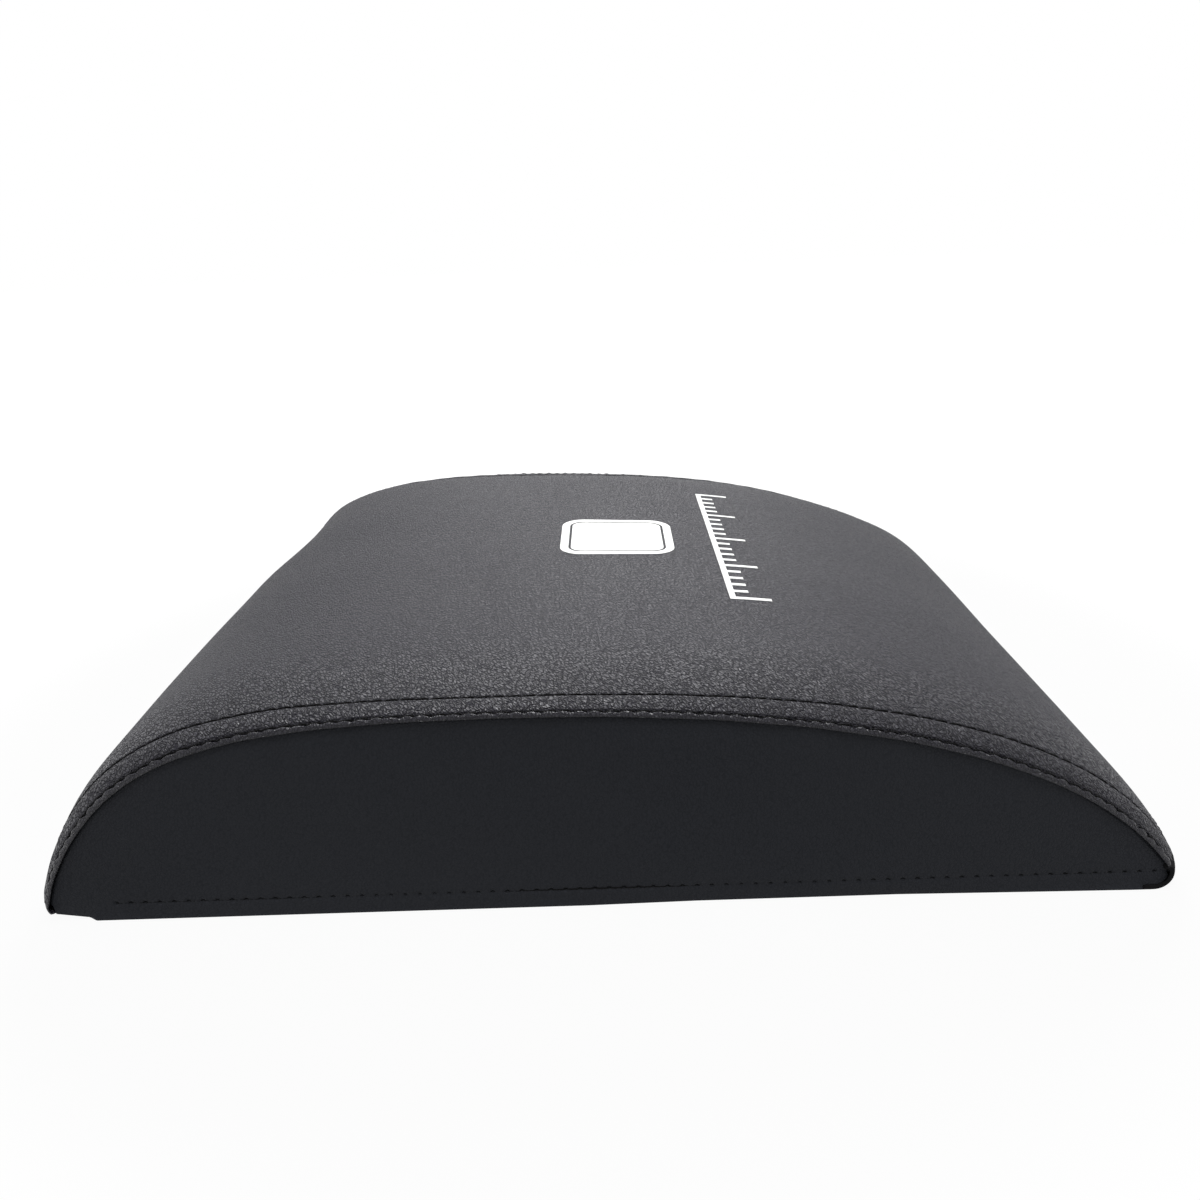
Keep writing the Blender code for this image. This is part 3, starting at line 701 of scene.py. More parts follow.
@dataclass(frozen=True)
class DottedFabric(Finish):
    """Woven polyester with dots of soft PVC printed on it, which grip a floor.

    The dots stand up like small flat drops between threads too fine to see one by one.
    """

    pitch: float = 3.2 * MM
    dot: float = 0.28
    # The threads lie 0.25 mm apart, too fine to show, so their unevenness is drawn at 0.5 mm.
    weave: float = 0.5 * MM
    relief: float = 0.2 * MM

    def build(self) -> bpy.types.Material:
        """Make the material.

        Returns:
            The material.
        """
        material, tree, shader, place = self.start()
        grid = {"Vector": place, "Scale": 1 / self.pitch, "Randomness": 0.0}
        dots = add_node(tree, "ShaderNodeTexVoronoi", grid, voronoi_dimensions="2D")
        domed = {0: dots, 1: self.dot, 2: self.dot * 0.7, 3: 0.0, 4: 1.0}
        drop = add_node(tree, "ShaderNodeMapRange", domed, interpolation_type="SMOOTHSTEP")
        threads = {"Vector": place, "Scale": 1 / self.weave, "Detail": 2}
        weave = add_node(tree, "ShaderNodeTexNoise", threads)
        both = {0: weave, 1: 0.3, 2: drop}
        height = add_node(tree, "ShaderNodeMath", both, operation="MULTIPLY_ADD")
        bump = add_node(tree, "ShaderNodeBump", {"Height": height, "Distance": self.relief})
        smoother = {0: drop, 1: -0.25, 2: self.roughness}
        rough = add_node(tree, "ShaderNodeMath", smoother, operation="MULTIPLY_ADD")
        feed(shader, {"Normal": bump, "Roughness": rough})
        return material


@dataclass(frozen=True)
class Twisted(Finish):
    """Twisted or woven polyester yarn.

    Its plies show as slanting ribs, with a dull fuzz that keeps it from shining.
    """

    # Real plies are about 0.3 mm wide, and are drawn coarser so that they show.
    ply: float = 0.5 * MM
    # The wave texture's scale at which a rib is about one unit wide.
    rib_scale: float = 0.31
    fuzz: float = 0.3 * MM
    relief: float = 0.08 * MM

    def build(self) -> bpy.types.Material:
        """Make the material.

        Returns:
            The material.
        """
        material, tree, shader, place = self.start()
        waves = {
            "Vector": place,
            "Scale": self.rib_scale / self.ply,
            "Distortion": 1.5,
            "Detail": 1.0,
        }
        ribs = add_node(tree, "ShaderNodeTexWave", waves, bands_direction="DIAGONAL").outputs["Fac"]
        fibres = {"Vector": place, "Scale": 1 / self.fuzz, "Detail": 2}
        fuzz = add_node(tree, "ShaderNodeTexNoise", fibres)
        both = {0: fuzz, 1: 0.4, 2: ribs}
        height = add_node(tree, "ShaderNodeMath", both, operation="MULTIPLY_ADD")
        bump = add_node(tree, "ShaderNodeBump", {"Height": height, "Distance": self.relief})
        duller = {0: fuzz, 1: 0.15, 2: self.roughness - 0.08}
        rough = add_node(tree, "ShaderNodeMath", duller, operation="MULTIPLY_ADD")
        feed(shader, {"Normal": bump, "Roughness": rough})
        return material


@dataclass(frozen=True)
class Speckled(Finish):
    """A finish with one colour and a fine even unevenness: ink, moulded plastic, enamel or foam.

    Ink takes the leather's pebbles through its film, plastic and enamel a faint orange peel, and
    foam its open cells.
    """

    cell: float = 1.2 * MM
    relief: float = 0.05 * MM
    coat: float = 0.0

    def build(self) -> bpy.types.Material:
        """Make the material.

        Returns:
            The material.
        """
        material, tree, shader, place = self.start()
        feed(shader, {"Coat Weight": self.coat})
        pattern = {"Vector": place, "Scale": 1 / self.cell}
        cells = add_node(tree, "ShaderNodeTexVoronoi", pattern, feature="SMOOTH_F1")
        fine = {"Vector": place, "Scale": 1 / (self.cell * 0.4), "Detail": 2}
        grit = add_node(tree, "ShaderNodeTexNoise", fine)
        both = {0: grit, 1: 0.5, 2: cells}
        height = add_node(tree, "ShaderNodeMath", both, operation="MULTIPLY_ADD")
        bump = add_node(tree, "ShaderNodeBump", {"Height": height, "Distance": self.relief})
        uneven = {0: grit, 1: 0.16, 2: self.roughness - 0.08}
        rough = add_node(tree, "ShaderNodeMath", uneven, operation="MULTIPLY_ADD")
        feed(shader, {"Normal": bump, "Roughness": rough})
        return material


@dataclass
class Finishes:
    """Every finish of the mat."""

    top: bpy.types.Material = field(init=False)
    side: bpy.types.Material = field(init=False)
    base: bpy.types.Material = field(init=False)
    foam: bpy.types.Material = field(init=False)
    thread: bpy.types.Material = field(init=False)
    tape: bpy.types.Material = field(init=False)
    teeth: bpy.types.Material = field(init=False)
    enamel: bpy.types.Material = field(init=False)
    ink: bpy.types.Material = field(init=False)

    def __post_init__(self) -> None:
        """Make the materials."""
        # Deeply embossed skin: a dark warm grey with a fine grain, strongest beside the front seam.
        self.top = ArtificialLeather(
            "polyurethane_leather_top",
            "#25242c",
            roughness=0.54,
            specular=0.32,
            lighter="#34333b",
            relief=0.60 * MM,
            gathered=3.0,
            stretched=0.32,
            crisp=0.42,
            lint=0.011,
        ).build()
        # The same stuff embossed lightly, nearly flat: a copy of the top's skin made bluish black,
        # darker and more matt, with the shade of the upright sides painted in.
        self.side = ArtificialLeather(
            "polyurethane_leather_side",
            "#1f2126",
            roughness=0.62,
            specular=0.22,
            lighter="#26282e",
            relief=0.12 * MM,
            lint=0.008,
        ).build()
        # Woven fabric with printed dots: a dull black that grips the floor.
        self.base = DottedFabric("pvc_dotted_fabric", "#0b0b0d", 0.80, 0.12).build()
        # Moulded foam: pale grey and dry, with open cells.
        self.foam = Speckled(
            "moulded_polyurethane_foam", "#85878c", 0.95, 0.3, cell=1.6 * MM, relief=0.3 * MM
        ).build()
        # Twisted yarn: black and dull, with slanting plies.
        self.thread = Twisted("twisted_polyester_thread", "#060607", 0.8, 0.12).build()
        # Woven tape: a soft black a little lighter than the yarn.
        self.tape = Twisted("woven_polyester_tape", "#131314", 0.85, 0.3, ply=0.6 * MM).build()
        # Moulded plastic: black with a soft shine.
        self.teeth = Speckled(
            "moulded_acetal", "#17181a", 0.42, cell=0.8 * MM, relief=0.01 * MM
        ).build()
        # Stoved enamel on cast zinc: black under a thin glossy coat.
        self.enamel = Speckled(
            "black_enamelled_zinc", "#1a1b1d", 0.35, cell=0.9 * MM, relief=0.01 * MM, coat=0.4
        ).build()
        # Screen-printed ink: a flat white film that follows the pebbles beneath.
        self.ink = Speckled(
            "screen_printed_ink", "#f2f2f0", 0.5, cell=1.15 * MM, relief=0.06 * MM
        ).build()


@dataclass(frozen=True)
class Hollow:
    """A slack hollow in the cover, in millimetres: its place along, its start and run across."""

    place: float
    reach: float
    start: float
    run: float
    depth: float


@dataclass
class TopCover:
    """The top panel: one sheet over the arch, folded at its edges and sewn down in two rows."""

    arch: Arch
    finish: bpy.types.Material
    steps_per_stitch: int = 6
    # The groove that a row draws, the deeper pinch at its holes, and how wide both are.
    groove: float = 0.50 * MM
    pinch: float = 0.60 * MM
    groove_reach: float = 0.48 * MM
    # How far the band between the rows and the roll outside them puff up, and the puckers' depth.
    band_puff: float = 0.42 * MM
    roll_puff: float = 0.30 * MM
    pucker: float = 0.13 * MM
    # Lengths of unevenness: the band's along and across, the roll's, the gathers' along.
    band_run: tuple[float, float] = (14 * MM, 9 * MM)
    roll_run: float = 9 * MM
    gather_run: float = 12 * MM
    # How far the puckers reach in from the edge row, and the gathers in from the inner row.
    pucker_reach: float = 2.4 * MM
    gather_reach: float = 4.2 * MM
    # Slack of the leather over the foam, and the sizes of its wide and fine swells.
    sag: float = 0.16 * MM
    sag_wide: tuple[float, float] = (150 * MM, 110 * MM)
    sag_fine: tuple[float, float] = (60 * MM, 52 * MM)
    hollows: tuple[Hollow, ...] = (
        Hollow(place=38, reach=22, start=28, run=55, depth=7.4),
        Hollow(place=42, reach=26, start=-60, run=50, depth=0.8),
    )
    # How the fold wavers, and draws in at each stitch, and how the tall end's corners droop.
    waver: float = 0.16 * MM
    waver_run: float = 23 * MM
    draw_in: float = 0.07 * MM
    corner_droop: float = 0.9 * MM
    end_row: float = 2.5 * MM
    # Lines drawn across the sheet: at the hem's edge under the end, and at the turn at the tip.
    hem_lines: tuple[float, ...] = (0.0, 0.08 * MM, 0.3 * MM, 0.6 * MM)
    hem_flat: float = 5.2 * MM
    tip_turns: tuple[float, ...] = (90, 68, 46, 26, 10)

    @property
    def count(self) -> int:
        """Number of stitches in a row along the arch."""
        return round(self.arch.seam / MAT.stitch)

    @property
    def pitch(self) -> float:
        """Length of one stitch."""
        return self.arch.seam / self.count

    def courses(self) -> tuple[np.ndarray, np.ndarray]:
        """Work out the sheet's course, from the hem under the tall end to the tip.

        Returns:
            The course rows, and their distances along from the seam's foot.
        """
        arch, roll = self.arch, MAT.hem / 2
        foot = arch.course(np.array([0.0]))[0]
        radius = (arch.foot[1] - MAT.hem_level) / (1 + math.cos(arch.foot_slope))
        start = radius * math.sin(arch.foot_slope)
        bend = math.pi - arch.foot_slope
        rows, along = [], []
        # Flat under the end, from the hem's edge.
        edge = (MAT.tail_edge - line for line in self.hem_lines)
        for x in (*edge, *np.linspace(self.hem_flat, start, 5)):
            share = (MAT.tail_edge - x) / (MAT.tail_edge - start)
            rows.append([x, MAT.hem_level, 0.0, -1.0, foot[4] * share, 0.0, 0.0, 1.0])
            along.append(-radius * bend - (x - start))
        # Round the end's foot, where the tuck lets go.
        for share in np.linspace(0, 1, 12)[1:-1]:
            angle = math.radians(270) - share * bend
            normal = (math.cos(angle), math.sin(angle))
            place = (start + radius * normal[0], MAT.hem_level + radius * (1 + normal[1]))
            rows.append([*place, *normal, foot[4], 0.0, 0.0, float(smooth(1 - share * 2.4))])
            along.append(-radius * bend * (1 - share))
        # Over the arch, to the rounded edge at the tip.
        turns = arch.seam - roll * (1 - np.cos(np.radians(self.tip_turns)))
        steps = self.count * self.steps_per_stitch
        run = np.concatenate([np.linspace(0, turns[0], steps)[:-1], turns])
        return np.vstack([rows, arch.course(run)]), np.concatenate([along, run])

    @staticmethod
    def columns() -> np.ndarray:
        """List the lines along the sheet, closest at its edge and its two rows of stitches.

        Returns:
            Distances in from the edge, up to the sheet's middle.
        """
        roll = [0.01, 0.05, 0.16, 0.34, 0.56, 0.8, 1.05, 1.28, 1.5, 1.7, 1.9, 2.12, 2.4, 2.8]
        band = [3.3, 3.9, 4.6, 5.4, 6.3, 7.2, 8.0, 8.7, 9.2, 9.55, 9.8, 10.0, 10.2, 10.45]
        inside = [10.8, 11.3, 12.0, 12.9, 14.0, 15.5, 17.5, 20, 23.5, 28, 33, 38.5, 44.5]
        return np.array([*roll, *band, *inside, *np.linspace(51, 148, 15)]) * MM

    def holes(self, along: np.ndarray, seed: int) -> tuple[np.ndarray, np.ndarray]:
        """Find how near each place is to a needle hole, and the phase of the stitch there.

        Args:
            along: distances along a row of stitches.
            seed: varies how hard each stitch is drawn.

        Returns:
            Nearness from 0 to about 1, and the phase in turns.
        """
        phase = along / self.pitch
        nearest = np.round(phase)
        pulls = np.random.default_rng(seed).uniform(0.7, 1.15, 400)
        pull = pulls[np.clip(nearest, 0, 399).astype(int)]
        return pull * bell((phase - nearest) * self.pitch / MAT.hole), phase

    def relief(self, along: np.ndarray, inset: np.ndarray, y: np.ndarray) -> np.ndarray:
        """Work out how far the sewn sheet stands above its plain surface.

        Args:
            along: distances along the arch, one for each row.
            inset: distances in from the edge, one for each column.
            y: places across, one for each column.

        Returns:
            Heights by row and column.
        """
        height = np.zeros((len(along), len(inset)))
        s = along[:, None]
        for side in Side:
            mask = (y < 0) == (side is Side.FRONT)
            seed, f = side.seed, inset[mask][None, :]
            wander = MAT.wander * ripple(seed, s / MAT.wander_run)
            near_edge, phase = self.holes(along, seed)
            near_inner, inner_phase = self.holes(along + MAT.lag * self.pitch, seed + 4)
            hill = 0.0
            for row, near in ((MAT.edge_row, near_edge), (MAT.inner_row, near_inner)):
                away = (f - row - wander) / self.groove_reach
                pinch = self.pinch * near[:, None] * bell(0.85 * away)
                hill = hill - self.groove * bell(away) - pinch

            # The band between the rows puffs up, higher towards the inner row, and puckers.
            share = np.clip((f - MAT.edge_row) / (MAT.inner_row - MAT.edge_row), 0, 1)
            band = np.sin(math.pi * share**1.25)
            uneven = ripple(seed + 1, s / self.band_run[0], f / self.band_run[1])
            hill = hill + self.band_puff * band * (1 + 0.3 * uneven)
            fading = np.exp(-(f - MAT.edge_row) / self.pucker_reach)
            hill = hill - self.pucker * near_edge[:, None] * band * fading

            # The roll outside the edge row swells between the stitches.
            roll = np.sin(math.pi * np.clip(f / MAT.edge_row, 0, 1))
            swing = np.cos(math.tau * (phase[:, None] + 0.5))
            uneven = ripple(seed + 2, s / self.roll_run)
            hill = hill + self.roll_puff * roll * (1 + 0.75 * swing + 0.5 * uneven)

            # Gathers run in from the inner row.
            past = f - MAT.inner_row
            beyond = np.exp(-np.clip(past, 0, None) / self.gather_reach) * (past > 0)
            swing = np.cos(math.tau * (inner_phase[:, None] + 0.5))
            uneven = ripple(seed + 3, s / self.gather_run, f / self.band_run[1])
            hill = hill + self.pucker * beyond * (0.6 + 0.5 * swing + 0.7 * uneven)
            height[:, mask] = hill

        # The row across the thin end draws a groove of its own.
        away = (self.arch.seam - along - self.end_row) / self.groove_reach
        near_end, _ = self.holes(y + 0.14, 19)
        cut = self.groove + self.pinch * near_end[None, :]
        height -= cut * bell(away[:, None]) * smooth((inset[None, :] - 10 * MM) / (4 * MM))
        return height + self.loose(along, inset, y)

    def loose(self, along: np.ndarray, inset: np.ndarray, y: np.ndarray) -> np.ndarray:
        """Work out the slack over the whole sheet, which the sewn edges hold flat.

        Args:
            along: distances along the arch, one for each row.
            inset: distances in from the edge, one for each column.
            y: places across, one for each column.

        Returns:
            Heights by row and column.
        """
        free = smooth((inset[None, :] - 6 * MM) / (30 * MM))
        return self.slack(along[:, None], y[None, :]) * free

    def slack(self, along: np.ndarray, y: np.ndarray) -> np.ndarray:
        """Work out the slow unevenness of the leather over the foam.

        Args:
            along: distances along the arch.
            y: places across, which broadcast against them.

        Returns:
            Heights, negative in the hollows.
        """
        wide = ripple(5, along / self.sag_wide[0], y / self.sag_wide[1])
        fine = ripple(6, along / self.sag_fine[0], y / self.sag_fine[1])
        height = self.sag * (wide + 0.25 * fine)
        for hollow in self.hollows:
            away = y * np.sign(hollow.start) / MM - abs(hollow.start)
            reach = bell((along / MM - hollow.place) / hollow.reach)
            height = height - hollow.depth * MM * smooth(away / hollow.run) * reach
        return height

    def build(self) -> bpy.types.Object:
        """Make the panel.

        Returns:
            The panel's object.
        """
        course, along = self.courses()
        inset = self.columns()
        y = np.concatenate([inset - MAT.half_width, (MAT.half_width - inset[:-1])[::-1]])
        inset = np.concatenate([inset, inset[:-1][::-1]])
        # Relief and slack start at the foot, and lose a thousandth per mm of the rear seam's stand.
        begun = smooth((along[:, None] + 1.5 * MM) / (3 * MM)) * (1 - course[:, 6:7])
        # The sheet is doubled where its hem lies under it, at the long edges and at the tip.
        end = (self.arch.seam - along)[:, None]
        side_hem = smooth((MAT.hem_width + MAT.hem / 2 - inset) / (MAT.hem / 2))
        end_hem = smooth((MAT.hem_width - end) / (MAT.hem / 2))
        hem = smooth(along[:, None] / MM + 1) * np.maximum(side_hem, end_hem)
        thick = MAT.panel + (MAT.hem - MAT.panel) * hem
        tail = (MAT.tail_edge - course[:, :1]) + 1.0 * (along[:, None] > -4 * MM)
        trim = rounded(inset, thick / 2, np.maximum(np.minimum(end, tail), 0.02 * MM))
        bulge = self.relief(along, inset, y) * begun
        outer = lay(course, y, trim - bulge)
        # The back follows the slack but not the stitches, and stays below the face.
        back = thick - trim - self.loose(along, inset, y) * begun
        inner = lay(course, y, np.maximum(back, trim - bulge + 0.3 * MM))
        # The fold wavers a little, and draws in at each stitch.
        drawn = self.draw_in * np.cos(math.tau * (along / self.pitch + 0.5))
        waver = (self.waver * ripple(21, along / self.waver_run) + drawn)[:, None]
        shift = waver * np.exp(-inset / (2 * MM)) * smooth(along[:, None] / (4 * MM)) * np.sign(y)
        corner = smooth(-along[:, None] / (4 * MM)) * smooth((30 * MM - inset) / (25 * MM))
        droop = self.corner_droop * corner
        for grid in (outer, inner):
            grid[..., 1] += shift
            grid[..., 2] -= droop
        panel = Shop.add("cover_top", Shop.sheet(outer, inner), self.finish)
        Shop.dress(panel, Body.MAT, "cover_leather", "top_panel")
        return panel


@dataclass
class SidePanel:
    """One side: a flat sheet under the arch, with its seam allowance turned in under the cover."""

    side: Side
    arch: Arch
    finish: bpy.types.Material
    # Heights of the lower edge: along the floor, at the step, and at the tall end's corner.
    edge_height: float = 0.05 * MM
    step_height: float = 1.2 * MM
    corner_height: float = 3.0 * MM
    step_at: float = 11.8 * MM
    step_run: float = 3.3 * MM
    # How far the foam puffs the face out.
    puff: float = 0.30 * MM
    # How far the foot is flared out at places along, in mm.
    flare_at: tuple[float, ...] = (0.0, 0.175, 0.210, 0.275, 0.325, 0.350, 0.370)
    flare_by: tuple[float, ...] = (0.55, 0.50, -0.25, -0.35, 0.70, 1.15, 1.20)
    # Heights of the face's lines in mm, where the panel is at its tallest.
    tall: float = 70.0
    levels: tuple[float, ...] = (
        0, 0.4, 1.0, 1.8, 2.8, 3.8, 4.6, 5.1, 5.5, 5.8, 6.1, 6.4, 6.8,
        7.3, 8.0, 9.0, 10.5, 12.5, 16, 21, 27, 34, 42, 50, 58, 65,
    )
    steps: int = 960

    def low_edge(self, x: np.ndarray) -> np.ndarray:
        """Work out the height of the panel's lower edge.

        Args:
            x: places along the mat, from the seam's foot.

        Returns:
            Heights: raised at the tall end's step, low along the floor, up round the nose.
        """
        rising = self.step_height - self.corner_height
        tall = self.corner_height + rising * np.clip(x / self.step_at, 0, 1)
        drop = smooth((x - self.step_at) / self.step_run)
        nose = np.clip((x - MAT.nose_at) / (MAT.nose_reach - MAT.rim_width), 0, 1)
        rise = MAT.rim_width * smooth((x - MAT.nose_at + 0.8 * MM) / (2.0 * MM))
        curl = rise + (MAT.nose_level - MAT.rim_width) * (1 - np.sqrt(1 - nose * nose))
        return tall + (self.edge_height + curl - tall) * drop

    def build(self) -> bpy.types.Object:
        """Make the panel.

        Returns:
            The panel's object.
        """
        length = self.arch.length
        steps = np.linspace(0, length, self.steps)
        course = self.arch.course(steps)
        # Near the tip the cover ends, so the turn is tighter and lies higher.
        free = smooth((steps - self.arch.seam) / (2 * MM))[:, None]
        near = smooth((steps - self.arch.seam + 3 * MM) / (3 * MM))[:, None]
        depth = MAT.flange_depth - 0.2 * MM * (near + free)
        bend = MAT.side_bend * (1 - 0.6 * near)
        places = []
        for turn in np.radians([0, 30, 60, 90]):
            y = MAT.side_outer - bend * (1 - math.cos(turn))
            places.append((y, depth + bend * (1 - math.sin(turn))))
        # The seam allowance narrows to nothing at both ends.
        whole = smooth((length - steps - 17 * MM) / (5 * MM)) * smooth(steps / (6 * MM))
        width = MAT.side_inner - MAT.half_width + MAT.flange_width
        tongue = (MAT.side_inner - width * np.clip(whole, 0.02, 1))[:, None]
        under = depth + MAT.panel
        places += [(tongue, depth), (tongue, under), (MAT.side_inner + 0 * depth, under + bend / 2)]
        mirror = np.array([1, self.side.value, 1])
        points = [lay(course, y * self.side.value, d)[:, 0] * mirror for y, d in places]
        # The face runs down from the turn, with lines evenly spaced where the panel is low.
        top = points[0]
        low_x = np.maximum(top[:, 0] - MAT.foot_x, MAT.flange_depth + MAT.gap)
        low_z = np.minimum(self.low_edge(low_x), top[:, 2] - MAT.gap)
        low = np.column_stack([low_x + MAT.foot_x, np.full(len(steps), MAT.side_outer), low_z])
        high = np.maximum((top - low)[:, 2:] / MM, 0.2)
        even = 0.5 * np.clip(1 - high / 12, 0, 1)
        face = []
        for k, level in enumerate(self.levels):
            share = 1 - (1 - level / self.tall) ** (self.tall / high)
            share += (k / len(self.levels) - share) * even
            face.append(self.fill_out(low + (top - low) * share))
        back = low.copy()
        back[:, 1] = MAT.side_inner
        rings = np.stack([*face, *points, back], axis=1) * mirror
        name = self.side.name.lower()
        panel = Shop.add(f"cover_side_{name}", Shop.loft(rings), self.finish)
        Shop.dress(panel, Body.MAT, "side_leather", f"side_panel_{name}")
        return panel

    def fill_out(self, part: np.ndarray) -> np.ndarray:
        """Push a line of the face out where the foam fills it, and in along the base stitches.

        Args:
            part: points of the line.

        Returns:
            The points moved.
        """
        x, z = part[:, 0], part[:, 2]
        fade = smooth(z / (9 * MM)) * smooth((0.165 - np.abs(x)) / 0.03)
        uneven = ripple(31 + self.side.value, x / (90 * MM), z / (50 * MM))
        push = self.puff * fade * (0.4 + uneven)
        foot = np.exp(-z / (2.2 * MM)) * smooth((x - self.step_at - MAT.foot_x) / self.step_run)
        flare = np.interp(x - MAT.foot_x, self.flare_at, self.flare_by) * MM
        turns = (x - MAT.base_from) / (MAT.base_length / round(MAT.base_length / MAT.stitch))
        hole = bell((turns - np.round(turns)) * MAT.stitch / MAT.hole)
        furrow = (0.14 + 0.70 * hole) * MM * bell((z - MAT.base_row) / (0.7 * MM))
        sewn = smooth((x - MAT.base_from + 2 * MM) / (2 * MM))
        furrow = furrow * sewn * (x < MAT.base_from + MAT.base_length + MM)
        part[:, 1] += push + flare * foot - furrow
        return part


@dataclass
class StitchRow:
    """One row of lock stitches, each slanting in its groove between two needle holes."""

    name: str
    node: str
    place: Place
    length: float
    finish: bpy.types.Material
    pitch: float = MAT.stitch
    lag: float = 0.0
    # How deep a stitch dives at its ends, how far it slants, and how often its plies turn.
    dive: float = 0.6 * MM
    slant: float = 1.00 * MM
    turns: float = 1.5
    sides: int = 8
    rings: int = 11

    def build(self) -> bpy.types.Object:
        """Make the row.

        Returns:
            The row's object.
        """
        count = round(self.length / self.pitch)
        t = np.linspace(0.03, 0.97, self.rings)
        shape = 1 - np.abs(2 * t - 1) ** 6
        first = 1 - self.lag if self.lag else 0.0
        along = (np.arange(count)[:, None] + t + first) * self.pitch
        along = along[along[:, -1] <= self.length]
        count = len(along)
        lift = np.broadcast_to(self.dive * (shape - 1), along.shape)
        centre = self.place(along.ravel(), lift.ravel()).reshape(count, self.rings, 3)
        above = self.place(along.ravel(), lift.ravel() + MM).reshape(count, self.rings, 3)
        out = above - centre
        out /= np.linalg.norm(out, axis=-1, keepdims=True)
        ahead = np.gradient(centre, axis=1)
        ahead /= np.linalg.norm(ahead, axis=-1, keepdims=True)
        sideways = np.cross(ahead, out)
        lean = self.slant * np.sign(sideways[..., 1:2].mean()) * (t - 0.5)
        centre = centre + sideways * lean[None, :, None]
        out = np.cross(sideways, ahead)
        angle = np.linspace(0, math.tau, self.sides, endpoint=False)
        twist = math.tau * self.turns * t
        # Two plies make the thread oval, and it thins where it dives.
        radius = MAT.thread / 2 * (1 + 0.13 * np.cos(2 * (angle[None, :] - twist[:, None])))
        radius = radius * (0.45 + 0.55 * np.sqrt(np.clip(shape, 0, 1)))[:, None]
        round_out = np.cos(angle)[:, None] * out[:, :, None, :]
        round_by = np.sin(angle)[:, None] * sideways[:, :, None, :]
        rings = centre[:, :, None, :] + radius[None, ..., None] * (round_out + round_by)
        stitches = [Shop.loft(rings[k]) for k in range(count)]
        row = Shop.add(self.name, Shop.merge(stitches), self.finish)
        Shop.dress(row, Body.MAT, "thread", self.node)
        return row


@dataclass
class Stitching:
    """Every row of stitches on the mat."""

    arch: Arch
    cover: TopCover
    finish: bpy.types.Material
    # How deep a row's thread lies in the cover, and above the plain leather at the base and zip.
    sunk: float = 0.12 * MM
    proud: float = 0.2 * MM
    base_inset: float = 0.60 * MM
    # The two rows beside the zip: their x from the seam's foot, and half their length.
    zip_rows: tuple[tuple[str, float], ...] = (("outer", 0.0046), ("inner", 0.0168))
    zip_half: float = 0.1427

    def along_arch(self, inset: float, side: Side) -> Place:
        """Lay out a row beside an edge seam.

        Args:
            inset: its distance in from the fold.
            side: the seam's side.

        Returns:
            A function that gives the row's points for distances along it and lifts off it.
        """
        y = side.value * (MAT.half_width - inset)

        def place(along: np.ndarray, lift: np.ndarray) -> np.ndarray:
            """Give points on the row.

            Args:
                along: distances along it.
                lift: heights above it.

            Returns:
                The points.
            """
            wander = -side.value * MAT.wander * ripple(side.seed, along / MAT.wander_run)
            course = self.arch.course(along)
            return lay(course, (y + wander)[:, None], (self.sunk - lift)[:, None])[:, 0]

        return place

    def across_end(self, along: np.ndarray, lift: np.ndarray) -> np.ndarray:
        """Give points on the row that crosses the thin end.

        Args:
            along: distances along the row.
            lift: heights above it.

        Returns:
            The points.
        """
        course = self.arch.course(np.full(len(along), self.arch.seam - self.cover.end_row))
        return lay(course, (along - MAT.end_half)[:, None], (self.sunk - lift)[:, None])[:, 0]

    def straight(
        self, start: tuple[float, ...], ahead: tuple[float, ...], out: tuple[float, ...]
    ) -> Place:
        """Lay out a straight row.

        Args:
            start: its first point.
            ahead: the way it runs.
            out: the way it stands off the leather.

        Returns:
            A function that gives the row's points for distances along it and lifts off it.
        """
        return lambda along, lift: (
            np.array(start) + np.outer(along, ahead) + np.outer(lift + self.proud, out)
        )

    def build(self) -> None:
        """Make every row."""
        length = self.arch.seam - 0.6 * MM
        base_pitch = MAT.base_length / round(MAT.base_length / MAT.stitch)
        for side in Side:
            name = side.name.lower()
            for inset, row, lag in ((MAT.edge_row, "edge", 0.0), (MAT.inner_row, "inner", MAT.lag)):
                place = self.along_arch(inset, side)
                piece, node = f"stitches_{name}_{row}", f"topstitch_{name}_{row}"
                pitch = self.cover.pitch
                StitchRow(piece, node, place, length, self.finish, pitch, lag).build()
            wall = side.value * (MAT.side_outer - self.base_inset)
            start = (MAT.base_from, wall, MAT.base_row)
            place = self.straight(start, (1, 0, 0), (0, side.value, 0))
            piece, node = f"stitches_base_{name}", f"base_stitch_{name}"
            StitchRow(
                piece, node, place, MAT.base_length, self.finish, base_pitch, dive=0.5 * MM
            ).build()
        piece, node = "stitches_thin_end", "stitch_thin_end"
        StitchRow(piece, node, self.across_end, 2 * MAT.end_half, self.finish).build()
        for name, x in self.zip_rows:
            start = (x + MAT.foot_x, -self.zip_half, MAT.hem_level)
            place = self.straight(start, (0, 1, 0), (0, 0, -1))
            piece, node = f"stitches_zip_{name}", f"zip_stitch_{name}"
            StitchRow(piece, node, place, 2 * self.zip_half, self.finish, dive=0.4 * MM).build()


